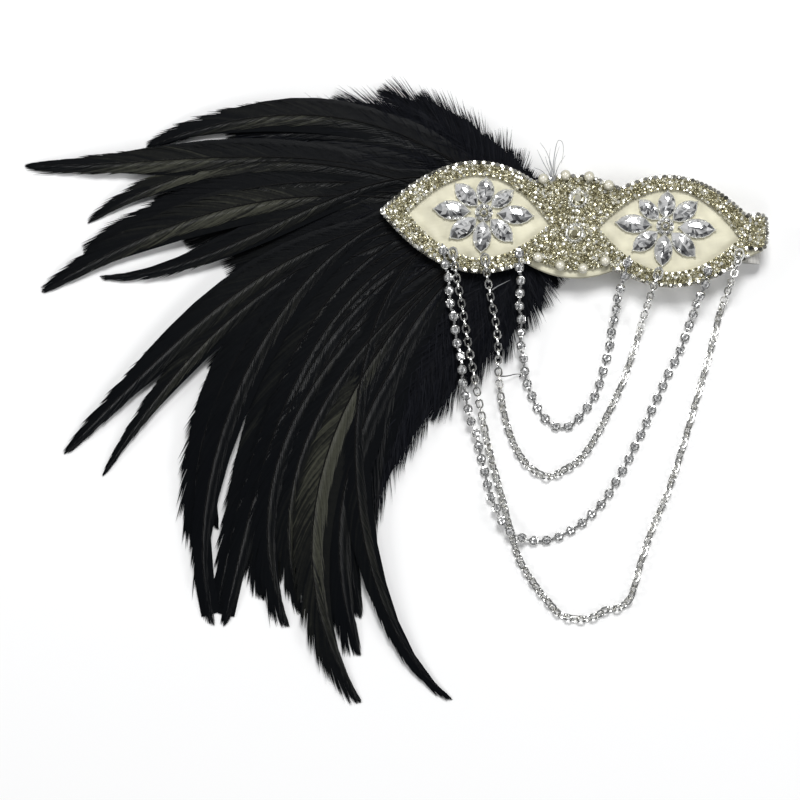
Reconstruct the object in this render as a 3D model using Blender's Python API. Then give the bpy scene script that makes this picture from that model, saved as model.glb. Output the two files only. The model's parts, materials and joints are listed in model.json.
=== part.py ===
"""Feather headband, lying on its back on a floor at z = 0 with the jewelled face up.

Metres, +Z up. +X runs along the panel towards its plain end, +Y towards the forehead's upper side. The origin is on the
floor, under the middle of the panel. From the floor up: the elastic strap, the head of the plume under the left half,
the felt backing, the satin face, and the stones, pearls and chains that are sewn on it.
"""

import math

import bmesh
import bpy
from mathutils import Vector

# Clearance between neighbours that touch
SEAT = 0.0003

# Shading is smooth over edges flatter than this
SMOOTH_ANGLE = math.radians(45)

# Sharpest corner that an inset outline follows in full, as the cosine of half its turn
CORNER_LIMIT = 0.5

# Panel: two pointed lobes side by side
HALF_LENGTH = 0.105
WINDOW_MARGIN = 0.0145
WINDOW_OUTER_X = HALF_LENGTH - WINDOW_MARGIN
WINDOW_INNER_X = 0.0125
LOBE_X = (WINDOW_OUTER_X + WINDOW_INNER_X) / 2
LOBE_TOP = 0.029
LOBE_BOTTOM = -0.0315
TIP_Y = -0.002
CENTRE_TOP = 0.0255
CENTRE_BOTTOM = -0.0305
CENTRE_TOP_DROP_SHARE = 0.22
CENTRE_BOTTOM_DROP_SHARE = 0.20
CENTRE_HALF = 0.024
UNDERSIDE_Z = 0.013
BACKING_THICKNESS = 0.0015
SATIN_THICKNESS = 0.0010
SATIN_INSET = 0.0008

# Crust of small stones
CRUST_THICKNESS = 0.0022
CRUST_CHAMFER = 0.0007
CRUST_INSET = 0.0012
CRUST_MARGIN = 0.0045
WINDOW_TOP = 0.0218
WINDOW_BOTTOM = -0.0240
CENTRE_SPLIT_X = 0.0210

# Block of stones at the right-hand end
TAB_LENGTH = 0.0085
TAB_TOP = 0.0115
TAB_BOTTOM = -0.0080
TAB_POINT = 0.0020

# Flowers of boat-shaped crystals
FLOWER_SHIFT = 0.0025
FLOWER_X = LOBE_X - FLOWER_SHIFT
FLOWER_Y = 0.0013
PETAL_HEIGHT = 0.0036
PETAL_WALL = 0.0017
PETAL_RIM = 0.0007
PETAL_TABLE_SHARE = 0.58
FLOWER_CENTRE_RADIUS = 0.0060
FLOWER_CENTRE_HEIGHT = 0.0042

# Pearls and round crystals
PEARL_DIAMETER = 0.0058
PEARL_SEAT_RADIUS = 0.0012
MEDALLION_RADIUS = 0.0053
MEDALLION_HEIGHT = 0.0032

# Elastic strap
STRAP_WIDTH = 0.022
STRAP_Y = -0.004
STRAP_THICKNESS = 0.0012
STRAP_RIGHT_X = 0.0960
STRAP_LEFT_X = -0.0800
STRAP_TAIL = 0.030
PLUME_CLEARANCE_Z = 0.0060

# Chains
CUP_DIAMETER = 0.0050
CUP_PITCH = 0.00725
CUP_WALL = 0.0016
CUP_HEIGHT = 0.0029
CUP_TABLE_SHARE = 0.55
LINK_CHAIN_DIAMETER = 0.0040
LINK_CHAIN_STEP = 0.0095

# Plume
ROOT_X = -0.030
ROOT_Y = -0.003
FEATHER_REACH = 0.270
FEATHER_WIDTH = 0.026
FEATHER_RIDGE = 0.0012
FEATHER_ROOT_Z = 0.0082
FEATHER_TIP_Z = 0.0012
FEATHER_ARCH = 0.0055
LOCK_REACH = 0.190
LOCK_WIDTH = 0.034
LOCK_RIDGE = 0.0050
LOCK_ROOT_Z = 0.0085
LOCK_ARCH = 0.0012
LAYER_STEP_SHARE = 0.4
BLADE_UPPER_SHARE = 0.7
BLADE_TIP_SHARE = 0.45
LEAVE_SHARE = 0.42
ARRIVE_SHARE = 0.36
HEAD_REACH = 0.140

# Points along a curved outline
OUTLINE_STEPS = 16
WINDOW_STEPS = 14
BOAT_STEPS = 5
TURN_STEPS = 6

# Sides of the round pieces
PEARL_SIDES = 10
PEARL_LEVELS = 5
MEDALLION_SIDES = 12
CUP_SIDES = 8
HEAD_SIDES = 28
FLOWER_CENTRE_STONES = 8

MM = 0.001

# Chain routes, chosen points in millimetres. Link chains state their middle, cup chains the foot of their cups.
CHAIN_ROUTES = {
    "link_chain_long": (
        (-64.0, -22.0, 20.9), (-62.3, -29.0, 21.0), (-60.7, -36.0, 18.6), (-57.7, -46.6, 16.0), (-53.8, -62.5, 14.8),
        (-50.6, -75.8, 13.0), (-46.2, -91.7, 9.5), (-41.0, -110.3, 4.5), (-34.5, -131.5, 2.5), (-27.0, -152.6, 2.5),
        (-21.4, -168.9, 2.5), (-15.4, -184.2, 2.5), (-6.3, -197.0, 2.5), (2.5, -206.7, 2.5), (9.5, -212.6, 2.5),
        (19.3, -214.1, 2.5), (27.5, -212.0, 2.5), (33.9, -207.8, 2.5), (39.8, -206.6, 2.5), (44.8, -202.6, 2.5),
        (47.3, -196.8, 2.5), (49.6, -184.7, 2.5), (52.1, -173.7, 2.5), (55.9, -159.9, 2.5), (61.7, -143.2, 2.5),
        (66.7, -123.9, 2.5), (71.6, -101.8, 2.5), (75.5, -82.6, 2.5), (79.5, -63.3, 2.5), (82.7, -44.0, 2.5),
        (85.4, -33.0, 8.0), (87.0, -25.0, 16.2), (88.4, -18.5, 21.0), (89.6, -11.0, 20.9),
    ),
    "cup_chain_long": (
        (-69.2, -21.0, 18.9), (-67.4, -28.0, 19.2), (-66.0, -34.8, 17.2), (-63.9, -44.3, 14.6), (-60.8, -57.6, 14.0),
        (-57.6, -70.9, 13.4), (-54.4, -84.2, 12.0), (-51.6, -97.5, 9.6), (-47.6, -109.7, 6.2), (-42.9, -122.3, 2.2),
        (-38.9, -134.5, 0.4), (-34.6, -147.7, 1.2), (-30.0, -158.6, 4.0), (-24.8, -166.5, 5.2), (-18.0, -171.6, 5.0),
        (-10.8, -173.2, 1.8), (-2.7, -172.9, 0.4), (5.2, -170.2, 0.4), (11.9, -165.9, 0.4), (18.6, -160.5, 0.4),
        (24.0, -154.2, 0.4), (28.9, -147.3, 0.4), (37.0, -131.5, 0.4), (45.7, -110.3, 0.4), (54.6, -85.8, 0.4),
        (63.3, -63.5, 0.4), (67.0, -50.0, 1.2), (69.4, -40.5, 7.5), (71.2, -33.0, 15.2), (72.6, -27.0, 19.1),
        (73.8, -21.0, 18.9),
    ),
    "link_chain_middle": (
        (-46.5, -24.0, 20.9), (-45.0, -31.5, 21.0), (-43.4, -38.0, 18.6), (-41.0, -47.3, 16.2), (-37.8, -58.6, 14.2),
        (-35.7, -72.0, 11.2), (-34.2, -85.4, 7.4), (-31.6, -98.8, 3.6), (-26.6, -114.6, 2.5), (-19.6, -127.7, 2.5),
        (-11.5, -135.2, 2.5), (-3.1, -138.3, 2.5), (5.2, -133.9, 2.5), (12.9, -127.9, 2.5), (20.1, -116.5, 2.5),
        (30.7, -91.4, 2.5), (35.1, -77.5, 2.5), (39.2, -60.9, 2.5), (41.8, -47.5, 8.0), (43.7, -37.5, 17.4),
        (45.3, -31.0, 21.0), (47.0, -24.5, 20.9),
    ),
    "cup_chain_short": (
        (-28.4, -19.5, 18.9), (-27.6, -26.0, 19.2), (-27.0, -32.5, 16.8), (-26.2, -41.5, 13.4), (-24.6, -54.9, 11.2),
        (-22.8, -71.0, 7.6), (-19.7, -84.3, 3.0), (-15.0, -95.9, 0.6), (-10.1, -103.6, 0.4), (-3.7, -109.7, 0.4),
        (3.0, -111.3, 0.4), (9.1, -107.1, 0.4), (14.1, -100.7, 0.4), (18.4, -93.4, 0.4), (22.2, -79.6, 0.4),
        (24.6, -65.5, 0.4), (25.6, -51.9, 1.8), (26.6, -41.5, 9.0), (27.8, -33.0, 16.4), (29.0, -26.6, 19.2),
        (30.5, -20.0, 18.9),
    ),
}

# Petals of one flower, bearing measured from the panel's end: start as a share of the middle's radius, end as a share
# of the way to the window's edge, width as a share of the petal's length
PETALS = (
    {"bearing": 0.0, "start": 1.60, "end": 0.71, "width": 0.48},
    {"bearing": 41.0, "start": 1.20, "end": 0.88, "width": 0.54},
    {"bearing": 90.0, "start": 1.08, "end": 0.94, "width": 0.62},
    {"bearing": 139.0, "start": 1.20, "end": 0.90, "width": 0.54},
    {"bearing": 180.0, "start": 1.60, "end": 0.80, "width": 0.48},
    {"bearing": 221.0, "start": 1.20, "end": 0.82, "width": 0.52},
    {"bearing": 270.0, "start": 1.08, "end": 0.87, "width": 0.53},
    {"bearing": 319.0, "start": 1.20, "end": 0.78, "width": 0.51},
)

# Rings of a flower's middle, from its foot up: radius and height as shares of the middle's, how far the radius swells
# at a stone and how far the height dips between two
FLOWER_CENTRE_RINGS = (
    {"radius": 0.92, "height": 0.00, "swell": 0.08, "dip": 0.00},
    {"radius": 0.92, "height": 0.28, "swell": 0.08, "dip": 0.00},
    {"radius": 0.72, "height": 0.62, "swell": 0.00, "dip": 0.16},
    {"radius": 0.48, "height": 0.50, "swell": 0.00, "dip": 0.00},
    {"radius": 0.40, "height": 0.72, "swell": 0.00, "dip": 0.00},
    {"radius": 0.22, "height": 1.00, "swell": 0.00, "dip": 0.00},
)

# Round crystals: place as for the pearls below, and the rings from foot to table as shares of radius and height
MEDALLIONS = (
    {"name": "medallion_upper", "along": 0.04, "up": 0.49},
    {"name": "medallion_lower", "along": 0.02, "up": -0.20},
)
MEDALLION_RINGS = (
    {"radius": 1.00, "height": 0.00},
    {"radius": 1.00, "height": 0.38},
    {"radius": 0.78, "height": 0.46},
    {"radius": 0.70, "height": 0.60},
    {"radius": 0.40, "height": 1.00},
)

# Pearls: place along the centre's half width, and along its height (1 at the top edge, -1 at the bottom edge)
PEARLS = (
    {"along": -0.77, "up": 0.85},
    {"along": -0.28, "up": 0.96},
    {"along": 0.25, "up": 0.97},
    {"along": 0.70, "up": 0.82},
    {"along": -0.76, "up": -0.68},
    {"along": -0.25, "up": -0.79},
    {"along": 0.27, "up": -0.81},
    {"along": 0.75, "up": -0.65},
)

# Feathers: where the tip lies seen from the root, the way the quill leaves the root and the way the tip points
# (degrees), reach and width as shares of the longest feather's, layer in ridge heights above the lowest
FEATHERS = (
    {"bearing": 172.0, "reach": 0.75, "leave": 134.0, "arrive": 208.0, "width": 0.80, "layer": 0},
    {"bearing": 177.4, "reach": 0.98, "leave": 156.0, "arrive": 186.0, "width": 0.90, "layer": 1},
    {"bearing": 183.6, "reach": 0.85, "leave": 160.0, "arrive": 219.0, "width": 0.80, "layer": 2},
    {"bearing": 192.0, "reach": 0.95, "leave": 168.0, "arrive": 216.0, "width": 0.90, "layer": 0},
    {"bearing": 191.0, "reach": 0.84, "leave": 186.0, "arrive": 172.0, "width": 0.70, "layer": 2},
    {"bearing": 210.7, "reach": 1.01, "leave": 180.0, "arrive": 234.0, "width": 0.85, "layer": 1},
    {"bearing": 215.2, "reach": 0.96, "leave": 181.0, "arrive": 243.0, "width": 0.75, "layer": 0},
    {"bearing": 236.3, "reach": 0.995, "leave": 176.0, "arrive": 284.0, "width": 0.90, "layer": 2},
    {"bearing": 235.4, "reach": 0.95, "leave": 188.0, "arrive": 282.0, "width": 0.85, "layer": 0},
    {"bearing": 237.9, "reach": 0.985, "leave": 202.0, "arrive": 262.0, "width": 0.85, "layer": 1},
    {"bearing": 244.5, "reach": 0.92, "leave": 205.0, "arrive": 298.0, "width": 0.85, "layer": 0},
    {"bearing": 244.7, "reach": 0.885, "leave": 213.0, "arrive": 292.0, "width": 0.75, "layer": 2},
    {"bearing": 255.9, "reach": 1.00, "leave": 214.0, "arrive": 308.0, "width": 0.85, "layer": 1},
    {"bearing": 253.6, "reach": 0.91, "leave": 225.0, "arrive": 294.0, "width": 1.05, "layer": 0},
    {"bearing": 265.7, "reach": 0.96, "leave": 222.0, "arrive": 318.0, "width": 0.72, "layer": 2},
)

# Locks of down round the head: as for feathers
LOCKS = (
    {"bearing": 84.0, "reach": 0.13, "leave": 88.0, "arrive": 80.0, "width": 0.55},
    {"bearing": 100.0, "reach": 0.18, "leave": 96.0, "arrive": 104.0, "width": 0.70},
    {"bearing": 114.0, "reach": 0.24, "leave": 106.0, "arrive": 121.0, "width": 0.80},
    {"bearing": 124.0, "reach": 0.34, "leave": 115.0, "arrive": 134.0, "width": 0.90},
    {"bearing": 132.0, "reach": 0.45, "leave": 122.0, "arrive": 146.0, "width": 0.95},
    {"bearing": 140.0, "reach": 0.54, "leave": 128.0, "arrive": 158.0, "width": 1.00},
    {"bearing": 150.5, "reach": 0.63, "leave": 136.0, "arrive": 172.0, "width": 1.00},
    {"bearing": 307.0, "reach": 0.20, "leave": 312.0, "arrive": 300.0, "width": 0.60},
    {"bearing": 290.0, "reach": 0.27, "leave": 298.0, "arrive": 282.0, "width": 0.75},
    {"bearing": 277.0, "reach": 0.34, "leave": 284.0, "arrive": 268.0, "width": 0.85},
    {"bearing": 268.0, "reach": 0.45, "leave": 275.0, "arrive": 262.0, "width": 0.90},
    {"bearing": 260.0, "reach": 0.53, "leave": 265.0, "arrive": 254.0, "width": 0.90},
    {"bearing": 254.0, "reach": 0.65, "leave": 256.0, "arrive": 250.0, "width": 0.95},
    {"bearing": 249.5, "reach": 0.80, "leave": 248.0, "arrive": 252.0, "width": 1.00},
    {"bearing": 249.0, "reach": 0.99, "leave": 243.0, "arrive": 262.0, "width": 1.00},
)

# Outline of the plume's head: bearing in degrees, reach as a share of HEAD_REACH
HEAD_OUTLINE = (
    {"bearing": 0.0, "reach": 0.17},
    {"bearing": 45.0, "reach": 0.17},
    {"bearing": 90.0, "reach": 0.22},
    {"bearing": 110.0, "reach": 0.33},
    {"bearing": 130.0, "reach": 0.56},
    {"bearing": 150.0, "reach": 0.80},
    {"bearing": 175.0, "reach": 0.97},
    {"bearing": 205.0, "reach": 1.00},
    {"bearing": 228.0, "reach": 1.00},
    {"bearing": 245.0, "reach": 0.78},
    {"bearing": 262.0, "reach": 0.50},
    {"bearing": 285.0, "reach": 0.28},
    {"bearing": 315.0, "reach": 0.19},
)

# Half width along a feather and along a lock: share of the length, share of the full width
FEATHER_PROFILE = (
    {"along": 0.20, "width": 0.40},
    {"along": 0.40, "width": 0.86},
    {"along": 0.54, "width": 1.00},
    {"along": 0.66, "width": 0.92},
    {"along": 0.77, "width": 0.70},
    {"along": 0.86, "width": 0.44},
    {"along": 0.94, "width": 0.22},
)
LOCK_PROFILE = (
    {"along": 0.25, "width": 0.62},
    {"along": 0.50, "width": 1.00},
    {"along": 0.72, "width": 0.86},
    {"along": 0.88, "width": 0.52},
)

# Skin of the head from its sole up: share of its reach, share of the height from the strap below to the felt above
HEAD_RINGS = (
    {"along": 0.45, "level": 0.00},
    {"along": 0.72, "level": -0.01},
    {"along": 0.90, "level": -0.06},
    {"along": 1.00, "level": 0.06},
    {"along": 0.90, "level": 0.49},
    {"along": 0.72, "level": 0.87},
    {"along": 0.45, "level": 1.00},
)

MATERIALS = {
    "elastic": {"colour": (0.60, 0.59, 0.56), "roughness": 0.8, "metallic": 0.0},
    "felt": {"colour": (0.62, 0.60, 0.50), "roughness": 0.95, "metallic": 0.0},
    "satin": {"colour": (0.74, 0.71, 0.58), "roughness": 0.45, "metallic": 0.0},
    "crust": {"colour": (0.66, 0.63, 0.52), "roughness": 0.2, "metallic": 0.9},
    "crystal": {"colour": (0.80, 0.82, 0.86), "roughness": 0.05, "metallic": 0.6},
    "pearl": {"colour": (0.88, 0.84, 0.74), "roughness": 0.15, "metallic": 0.0},
    "silver": {"colour": (0.80, 0.80, 0.80), "roughness": 0.15, "metallic": 1.0},
    "feather": {"colour": (0.010, 0.010, 0.013), "roughness": 0.5, "metallic": 0.0},
}


def clear_scene():
    """Remove every object that is in the scene."""
    for found in list(bpy.data.objects):
        bpy.data.objects.remove(found, do_unlink=True)


def material(name):
    """Return the named material, made on first use."""
    found = bpy.data.materials.get(name)
    if found is None:
        look = MATERIALS[name]
        found = bpy.data.materials.new(name)
        found.use_nodes = True
        shader = found.node_tree.nodes["Principled BSDF"]
        shader.inputs["Base Color"].default_value = (*look["colour"], 1.0)
        shader.inputs["Roughness"].default_value = look["roughness"]
        shader.inputs["Metallic"].default_value = look["metallic"]
    return found


def add_object(name, finish, bm, smooth=False):
    """Turn a bmesh into an object with one material, its faces turned outwards."""
    bmesh.ops.recalc_face_normals(bm, faces=bm.faces)
    mesh = bpy.data.meshes.new(name)
    bm.to_mesh(mesh)
    bm.free()
    mesh.materials.append(material(finish))
    if smooth:
        mesh.shade_smooth()
        mesh.set_sharp_from_angle(angle=SMOOTH_ANGLE)
    piece = bpy.data.objects.new(name, mesh)
    bpy.context.scene.collection.objects.link(piece)
    return piece


def loft(rings):
    """Return a bmesh skinned over closed rings of equal count, with a flat face on the first and the last."""
    bm = bmesh.new()
    loops = [[bm.verts.new(point) for point in ring] for ring in rings]
    for lower, upper in zip(loops, loops[1:]):
        for i in range(len(lower)):
            j = (i + 1) % len(lower)
            bm.faces.new((lower[i], lower[j], upper[j], upper[i]))
    bm.faces.new(loops[0])
    bm.faces.new(loops[-1])
    return bm


def slab(outline, bottom, top):
    """Return a bmesh of a flat plate with the given outline."""
    return loft([[(x, y, z) for x, y in outline] for z in (bottom, top)])


def inset(outline, distance):
    """Move each point of an anticlockwise outline inwards by a distance."""
    moved = []
    count = len(outline)
    for i in range(count):
        before = Vector(outline[i - 1])
        here = Vector(outline[i])
        after = Vector(outline[(i + 1) % count])
        first = (here - before).normalized()
        second = (after - here).normalized()
        normal = Vector((-first.y - second.y, first.x + second.x))
        if normal.length < 1e-9:
            moved.append(tuple(here))
            continue
        normal.normalize()
        lean = max(CORNER_LIMIT, normal.dot(Vector((-first.y, first.x))))
        moved.append(tuple(here + normal * distance / lean))
    return moved


def between(table, key, column, value):
    """Read a column of a table at a value of its key column, in straight lines between rows."""
    rows = [(row[key], row[column]) for row in table]
    for (a, first), (b, second) in zip(rows, rows[1:]):
        if value <= b:
            share = max(0.0, (value - a) / (b - a))
            return first + (second - first) * share
    return rows[-1][1]


def lobe_edge(x, apex):
    """Height of a lobe's upper or lower edge at a distance from the panel's middle."""
    share = (abs(x) - LOBE_X) / (HALF_LENGTH - LOBE_X)
    return apex + (TIP_Y - apex) * share * share


def top_edge(x):
    """Upper edge of the panel."""
    centre = CENTRE_TOP * (1.0 - CENTRE_TOP_DROP_SHARE * (x / CENTRE_HALF) ** 2)
    return max(lobe_edge(x, LOBE_TOP), centre)


def bottom_edge(x):
    """Lower edge of the panel."""
    centre = CENTRE_BOTTOM * (1.0 - CENTRE_BOTTOM_DROP_SHARE * (x / CENTRE_HALF) ** 2)
    return min(lobe_edge(x, LOBE_BOTTOM), centre)


def window_edge(x, apex):
    """Upper or lower edge of a satin window at a distance from the panel's middle."""
    share = (abs(x) - LOBE_X) / (WINDOW_OUTER_X - LOBE_X)
    return apex + (TIP_Y - apex) * share * share


def tab_start():
    """Where the block of stones at the right-hand end begins."""
    return HALF_LENGTH - TAB_POINT - TAB_LENGTH


def spread(start, end, steps):
    """Evenly spaced values from start to end."""
    return [start + (end - start) * i / steps for i in range(steps + 1)]


def panel_outline():
    """Anticlockwise outline of the panel: a point at the left, the squared block at the right."""
    right = tab_start()
    corner = HALF_LENGTH - TAB_POINT
    lower = [(x, bottom_edge(x)) for x in spread(-HALF_LENGTH, right, 2 * OUTLINE_STEPS)]
    end = [(corner, TAB_BOTTOM), (HALF_LENGTH, TIP_Y), (corner, TAB_TOP), (right, TAB_TOP)]
    upper = [(x, top_edge(x)) for x in spread(right, -HALF_LENGTH, 2 * OUTLINE_STEPS)]
    return lower + end + upper[:-1]


def satin_top():
    """Height of the satin face, which everything is sewn on."""
    return UNDERSIDE_Z + BACKING_THICKNESS + SEAT + SATIN_THICKNESS


def build_panel():
    """Felt backing and satin face."""
    outline = panel_outline()
    backing_top = UNDERSIDE_Z + BACKING_THICKNESS
    add_object("backing", "felt", slab(outline, UNDERSIDE_Z, backing_top))
    face = inset(outline, SATIN_INSET)
    add_object("satin_front", "satin", slab(face, backing_top + SEAT, satin_top()))


def crust_solid(outline):
    """A plate of stones on the satin with its upper edge broken by a chamfer."""
    bottom = satin_top() + SEAT
    shoulder = bottom + CRUST_THICKNESS - CRUST_CHAMFER
    crown = inset(outline, CRUST_CHAMFER)
    return loft([
        [(x, y, bottom) for x, y in outline],
        [(x, y, shoulder) for x, y in outline],
        [(x, y, bottom + CRUST_THICKNESS) for x, y in crown],
    ])


def border_outline(side):
    """Band round one window, open towards the centre. Side is -1 for left and 1 for right."""
    start = CENTRE_SPLIT_X + SEAT
    end = HALF_LENGTH - CRUST_MARGIN / 2 if side < 0 else tab_start() - SEAT
    outer_low = [(x, bottom_edge(x) + CRUST_INSET) for x in spread(start, end, OUTLINE_STEPS)]
    outer_high = [(x, top_edge(x) - CRUST_INSET) for x in spread(end, start, OUTLINE_STEPS)]
    inner_high = [(x, window_edge(x, WINDOW_TOP)) for x in spread(start, WINDOW_OUTER_X, WINDOW_STEPS)]
    inner_low = [(x, window_edge(x, WINDOW_BOTTOM)) for x in spread(WINDOW_OUTER_X, start, WINDOW_STEPS)]
    band = outer_low + outer_high + inner_high + inner_low[1:]
    if side < 0:
        band = [(-x, y) for x, y in reversed(band)]
    return band


def centre_outline():
    """Crust between the windows, cut in at both sides by the windows' tips."""
    steps = OUTLINE_STEPS // 2
    side_steps = WINDOW_STEPS // 4
    split = CENTRE_SPLIT_X
    low = [(x, min(bottom_edge(x) + CRUST_MARGIN, window_edge(split, WINDOW_BOTTOM) - CRUST_MARGIN / 2))
           for x in spread(-split, split, steps)]
    high = [(x, top_edge(x) - CRUST_INSET) for x in spread(split, -split, steps)]
    right_low = [(x, window_edge(x, WINDOW_BOTTOM)) for x in spread(split, WINDOW_INNER_X, side_steps)]
    right_high = [(x, window_edge(x, WINDOW_TOP)) for x in spread(WINDOW_INNER_X, split, side_steps)]
    left_high = [(-x, y) for x, y in reversed(right_high)]
    left_low = [(-x, y) for x, y in reversed(right_low)]
    return low + right_low + right_high[1:] + high + left_high + left_low[1:]


def build_crust():
    """Borders, centre crust and the block at the right-hand end."""
    add_object("border_left", "crust", crust_solid(border_outline(-1)))
    add_object("border_right", "crust", crust_solid(border_outline(1)))
    add_object("centre_crust", "crust", crust_solid(centre_outline()))
    start = tab_start() + SEAT
    end = HALF_LENGTH - TAB_POINT - CRUST_INSET / 2
    outline = [
        (start, TAB_BOTTOM + CRUST_INSET),
        (end, TAB_BOTTOM + CRUST_INSET),
        (end + TAB_POINT / 2, TIP_Y),
        (end, TAB_TOP - CRUST_INSET),
        (start, TAB_TOP - CRUST_INSET),
    ]
    add_object("end_tab", "crust", crust_solid(outline))


def boat_outline(length, width, share=1.0):
    """Pointed boat outline of two arcs, from the near tip, shrunk to a share about its middle."""
    half = length / 2
    bulge = width / 2
    radius = (half * half + bulge * bulge) / (2 * bulge)
    low = [(x, -(math.sqrt(radius * radius - x * x) - radius + bulge)) for x in spread(-half, half, BOAT_STEPS)]
    high = [(x, -y) for x, y in reversed(low)]
    return [(half + x * share, y * share) for x, y in low[:-1] + high[:-1]]


def window_reach(bearing):
    """Distance from the flower's middle to the window's edge at a bearing."""
    turn = math.radians(bearing)
    halvings = 30
    inside = 0.0
    outside = WINDOW_OUTER_X
    for _ in range(halvings):
        reach = (inside + outside) / 2
        x = FLOWER_X + reach * math.cos(turn)
        y = FLOWER_Y + reach * math.sin(turn)
        if window_edge(x, WINDOW_BOTTOM) < y < window_edge(x, WINDOW_TOP):
            inside = reach
        else:
            outside = reach
    return inside


def petal_rings(row):
    """Rings of one boat-shaped crystal in its rimmed setting, seen from the flower's middle."""
    start = row["start"] * FLOWER_CENTRE_RADIUS
    length = row["end"] * window_reach(row["bearing"]) - start
    width = row["width"] * length
    rim_share = 1.0 - 2 * PETAL_RIM / width
    bottom = satin_top() + SEAT
    levels = (
        (1.0, bottom),
        (1.0, bottom + PETAL_WALL),
        (rim_share, bottom + PETAL_WALL + PETAL_RIM / 3),
        (rim_share * PETAL_TABLE_SHARE, bottom + PETAL_HEIGHT),
    )
    turn = math.radians(row["bearing"])
    rings = []
    for share, z in levels:
        ring = []
        for x, y in boat_outline(length, width, share):
            out = start + x
            ring.append((out * math.cos(turn) - y * math.sin(turn), out * math.sin(turn) + y * math.cos(turn), z))
        rings.append(ring)
    return rings


def build_flowers():
    """Eight petals and a middle of small stones in each window, the left flower a mirror of the right one."""
    for side, word in ((-1, "left"), (1, "right")):
        for number, row in enumerate(PETALS, 1):
            rings = [[(side * (FLOWER_X + x), FLOWER_Y + y, z) for x, y, z in ring] for ring in petal_rings(row)]
            add_object(f"petal_{word}_{number}", "crystal", loft(rings))
        build_flower_centre(f"flower_centre_{word}", (side * FLOWER_X, FLOWER_Y))


def build_flower_centre(name, centre):
    """A middle stone with a ring of smaller ones, in one solid."""
    sides = 2 * FLOWER_CENTRE_STONES
    bottom = satin_top() + SEAT
    rings = []
    for row in FLOWER_CENTRE_RINGS:
        ring = []
        for i in range(sides):
            at_stone = i % 2 == 0
            angle = 2 * math.pi * i / sides
            swell = row["swell"] if at_stone else -row["swell"]
            dip = 0.0 if at_stone else row["dip"]
            radius = FLOWER_CENTRE_RADIUS * (row["radius"] + swell)
            z = bottom + FLOWER_CENTRE_HEIGHT * (row["height"] - dip)
            ring.append((centre[0] + radius * math.cos(angle), centre[1] + radius * math.sin(angle), z))
        rings.append(ring)
    add_object(name, "crystal", loft(rings))


def crust_top():
    """Height of the crust's upper face."""
    return satin_top() + SEAT + CRUST_THICKNESS


def centre_place(row):
    """Place of a pearl or a round crystal on the panel's centre."""
    edge = CENTRE_TOP if row["up"] > 0 else -CENTRE_BOTTOM
    return row["along"] * CENTRE_HALF, row["up"] * edge


def circle(centre, radius, z, sides):
    """Points of a level circle."""
    points = []
    for i in range(sides):
        angle = 2 * math.pi * i / sides
        points.append((centre[0] + radius * math.cos(angle), centre[1] + radius * math.sin(angle), z))
    return points


def build_pearls():
    """Pearls with a small flat where they are sewn down."""
    radius = PEARL_DIAMETER / 2
    seat_angle = math.asin(PEARL_SEAT_RADIUS / radius)
    centre_z = crust_top() + SEAT + radius * math.cos(seat_angle)
    for number, row in enumerate(PEARLS, 1):
        rings = []
        for polar in spread(math.pi - seat_angle, seat_angle, PEARL_LEVELS):
            rings.append(circle(
                centre_place(row), radius * math.sin(polar), centre_z + radius * math.cos(polar), PEARL_SIDES))
        add_object(f"pearl_{number}", "pearl", loft(rings), smooth=True)


def build_medallions():
    """The two round crystals that sit on the centre crust."""
    bottom = crust_top() + SEAT
    for row in MEDALLIONS:
        rings = []
        for level in MEDALLION_RINGS:
            rings.append(circle(
                centre_place(row), MEDALLION_RADIUS * level["radius"], bottom + MEDALLION_HEIGHT * level["height"],
                MEDALLION_SIDES))
        add_object(row["name"], "crystal", loft(rings))


def strap_path():
    """Middle line of the elastic in the XZ plane, from its right-hand sewn end round to its left-hand one."""
    half = STRAP_THICKNESS / 2
    low = half
    right_high = UNDERSIDE_Z - SEAT - half
    left_high = PLUME_CLEARANCE_Z - SEAT - half
    path = [(STRAP_RIGHT_X - STRAP_TAIL, right_high)]
    for x, high, first, last in (
        (STRAP_RIGHT_X, right_high, 90.0, -90.0),
        (STRAP_LEFT_X, left_high, 270.0, 90.0),
    ):
        radius = (high - low) / 2
        for angle in spread(first, last, TURN_STEPS):
            turn = math.radians(angle)
            path.append((x + radius * math.cos(turn), low + radius + radius * math.sin(turn)))
    path.append((STRAP_LEFT_X + STRAP_TAIL, left_high))
    return path


def build_strap():
    """The elastic band, a strip swept along its path."""
    path = strap_path()
    half = STRAP_THICKNESS / 2
    near = STRAP_Y - STRAP_WIDTH / 2
    far = STRAP_Y + STRAP_WIDTH / 2
    rings = []
    for i, (x, z) in enumerate(path):
        before = Vector(path[max(0, i - 1)])
        after = Vector(path[min(len(path) - 1, i + 1)])
        along = (after - before).normalized()
        out = Vector((-along.y, along.x)) * half
        rings.append([
            (x + out.x, near, z + out.y),
            (x + out.x, far, z + out.y),
            (x - out.x, far, z - out.y),
            (x - out.x, near, z - out.y),
        ])
    add_object("strap", "elastic", loft(rings), smooth=True)


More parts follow.
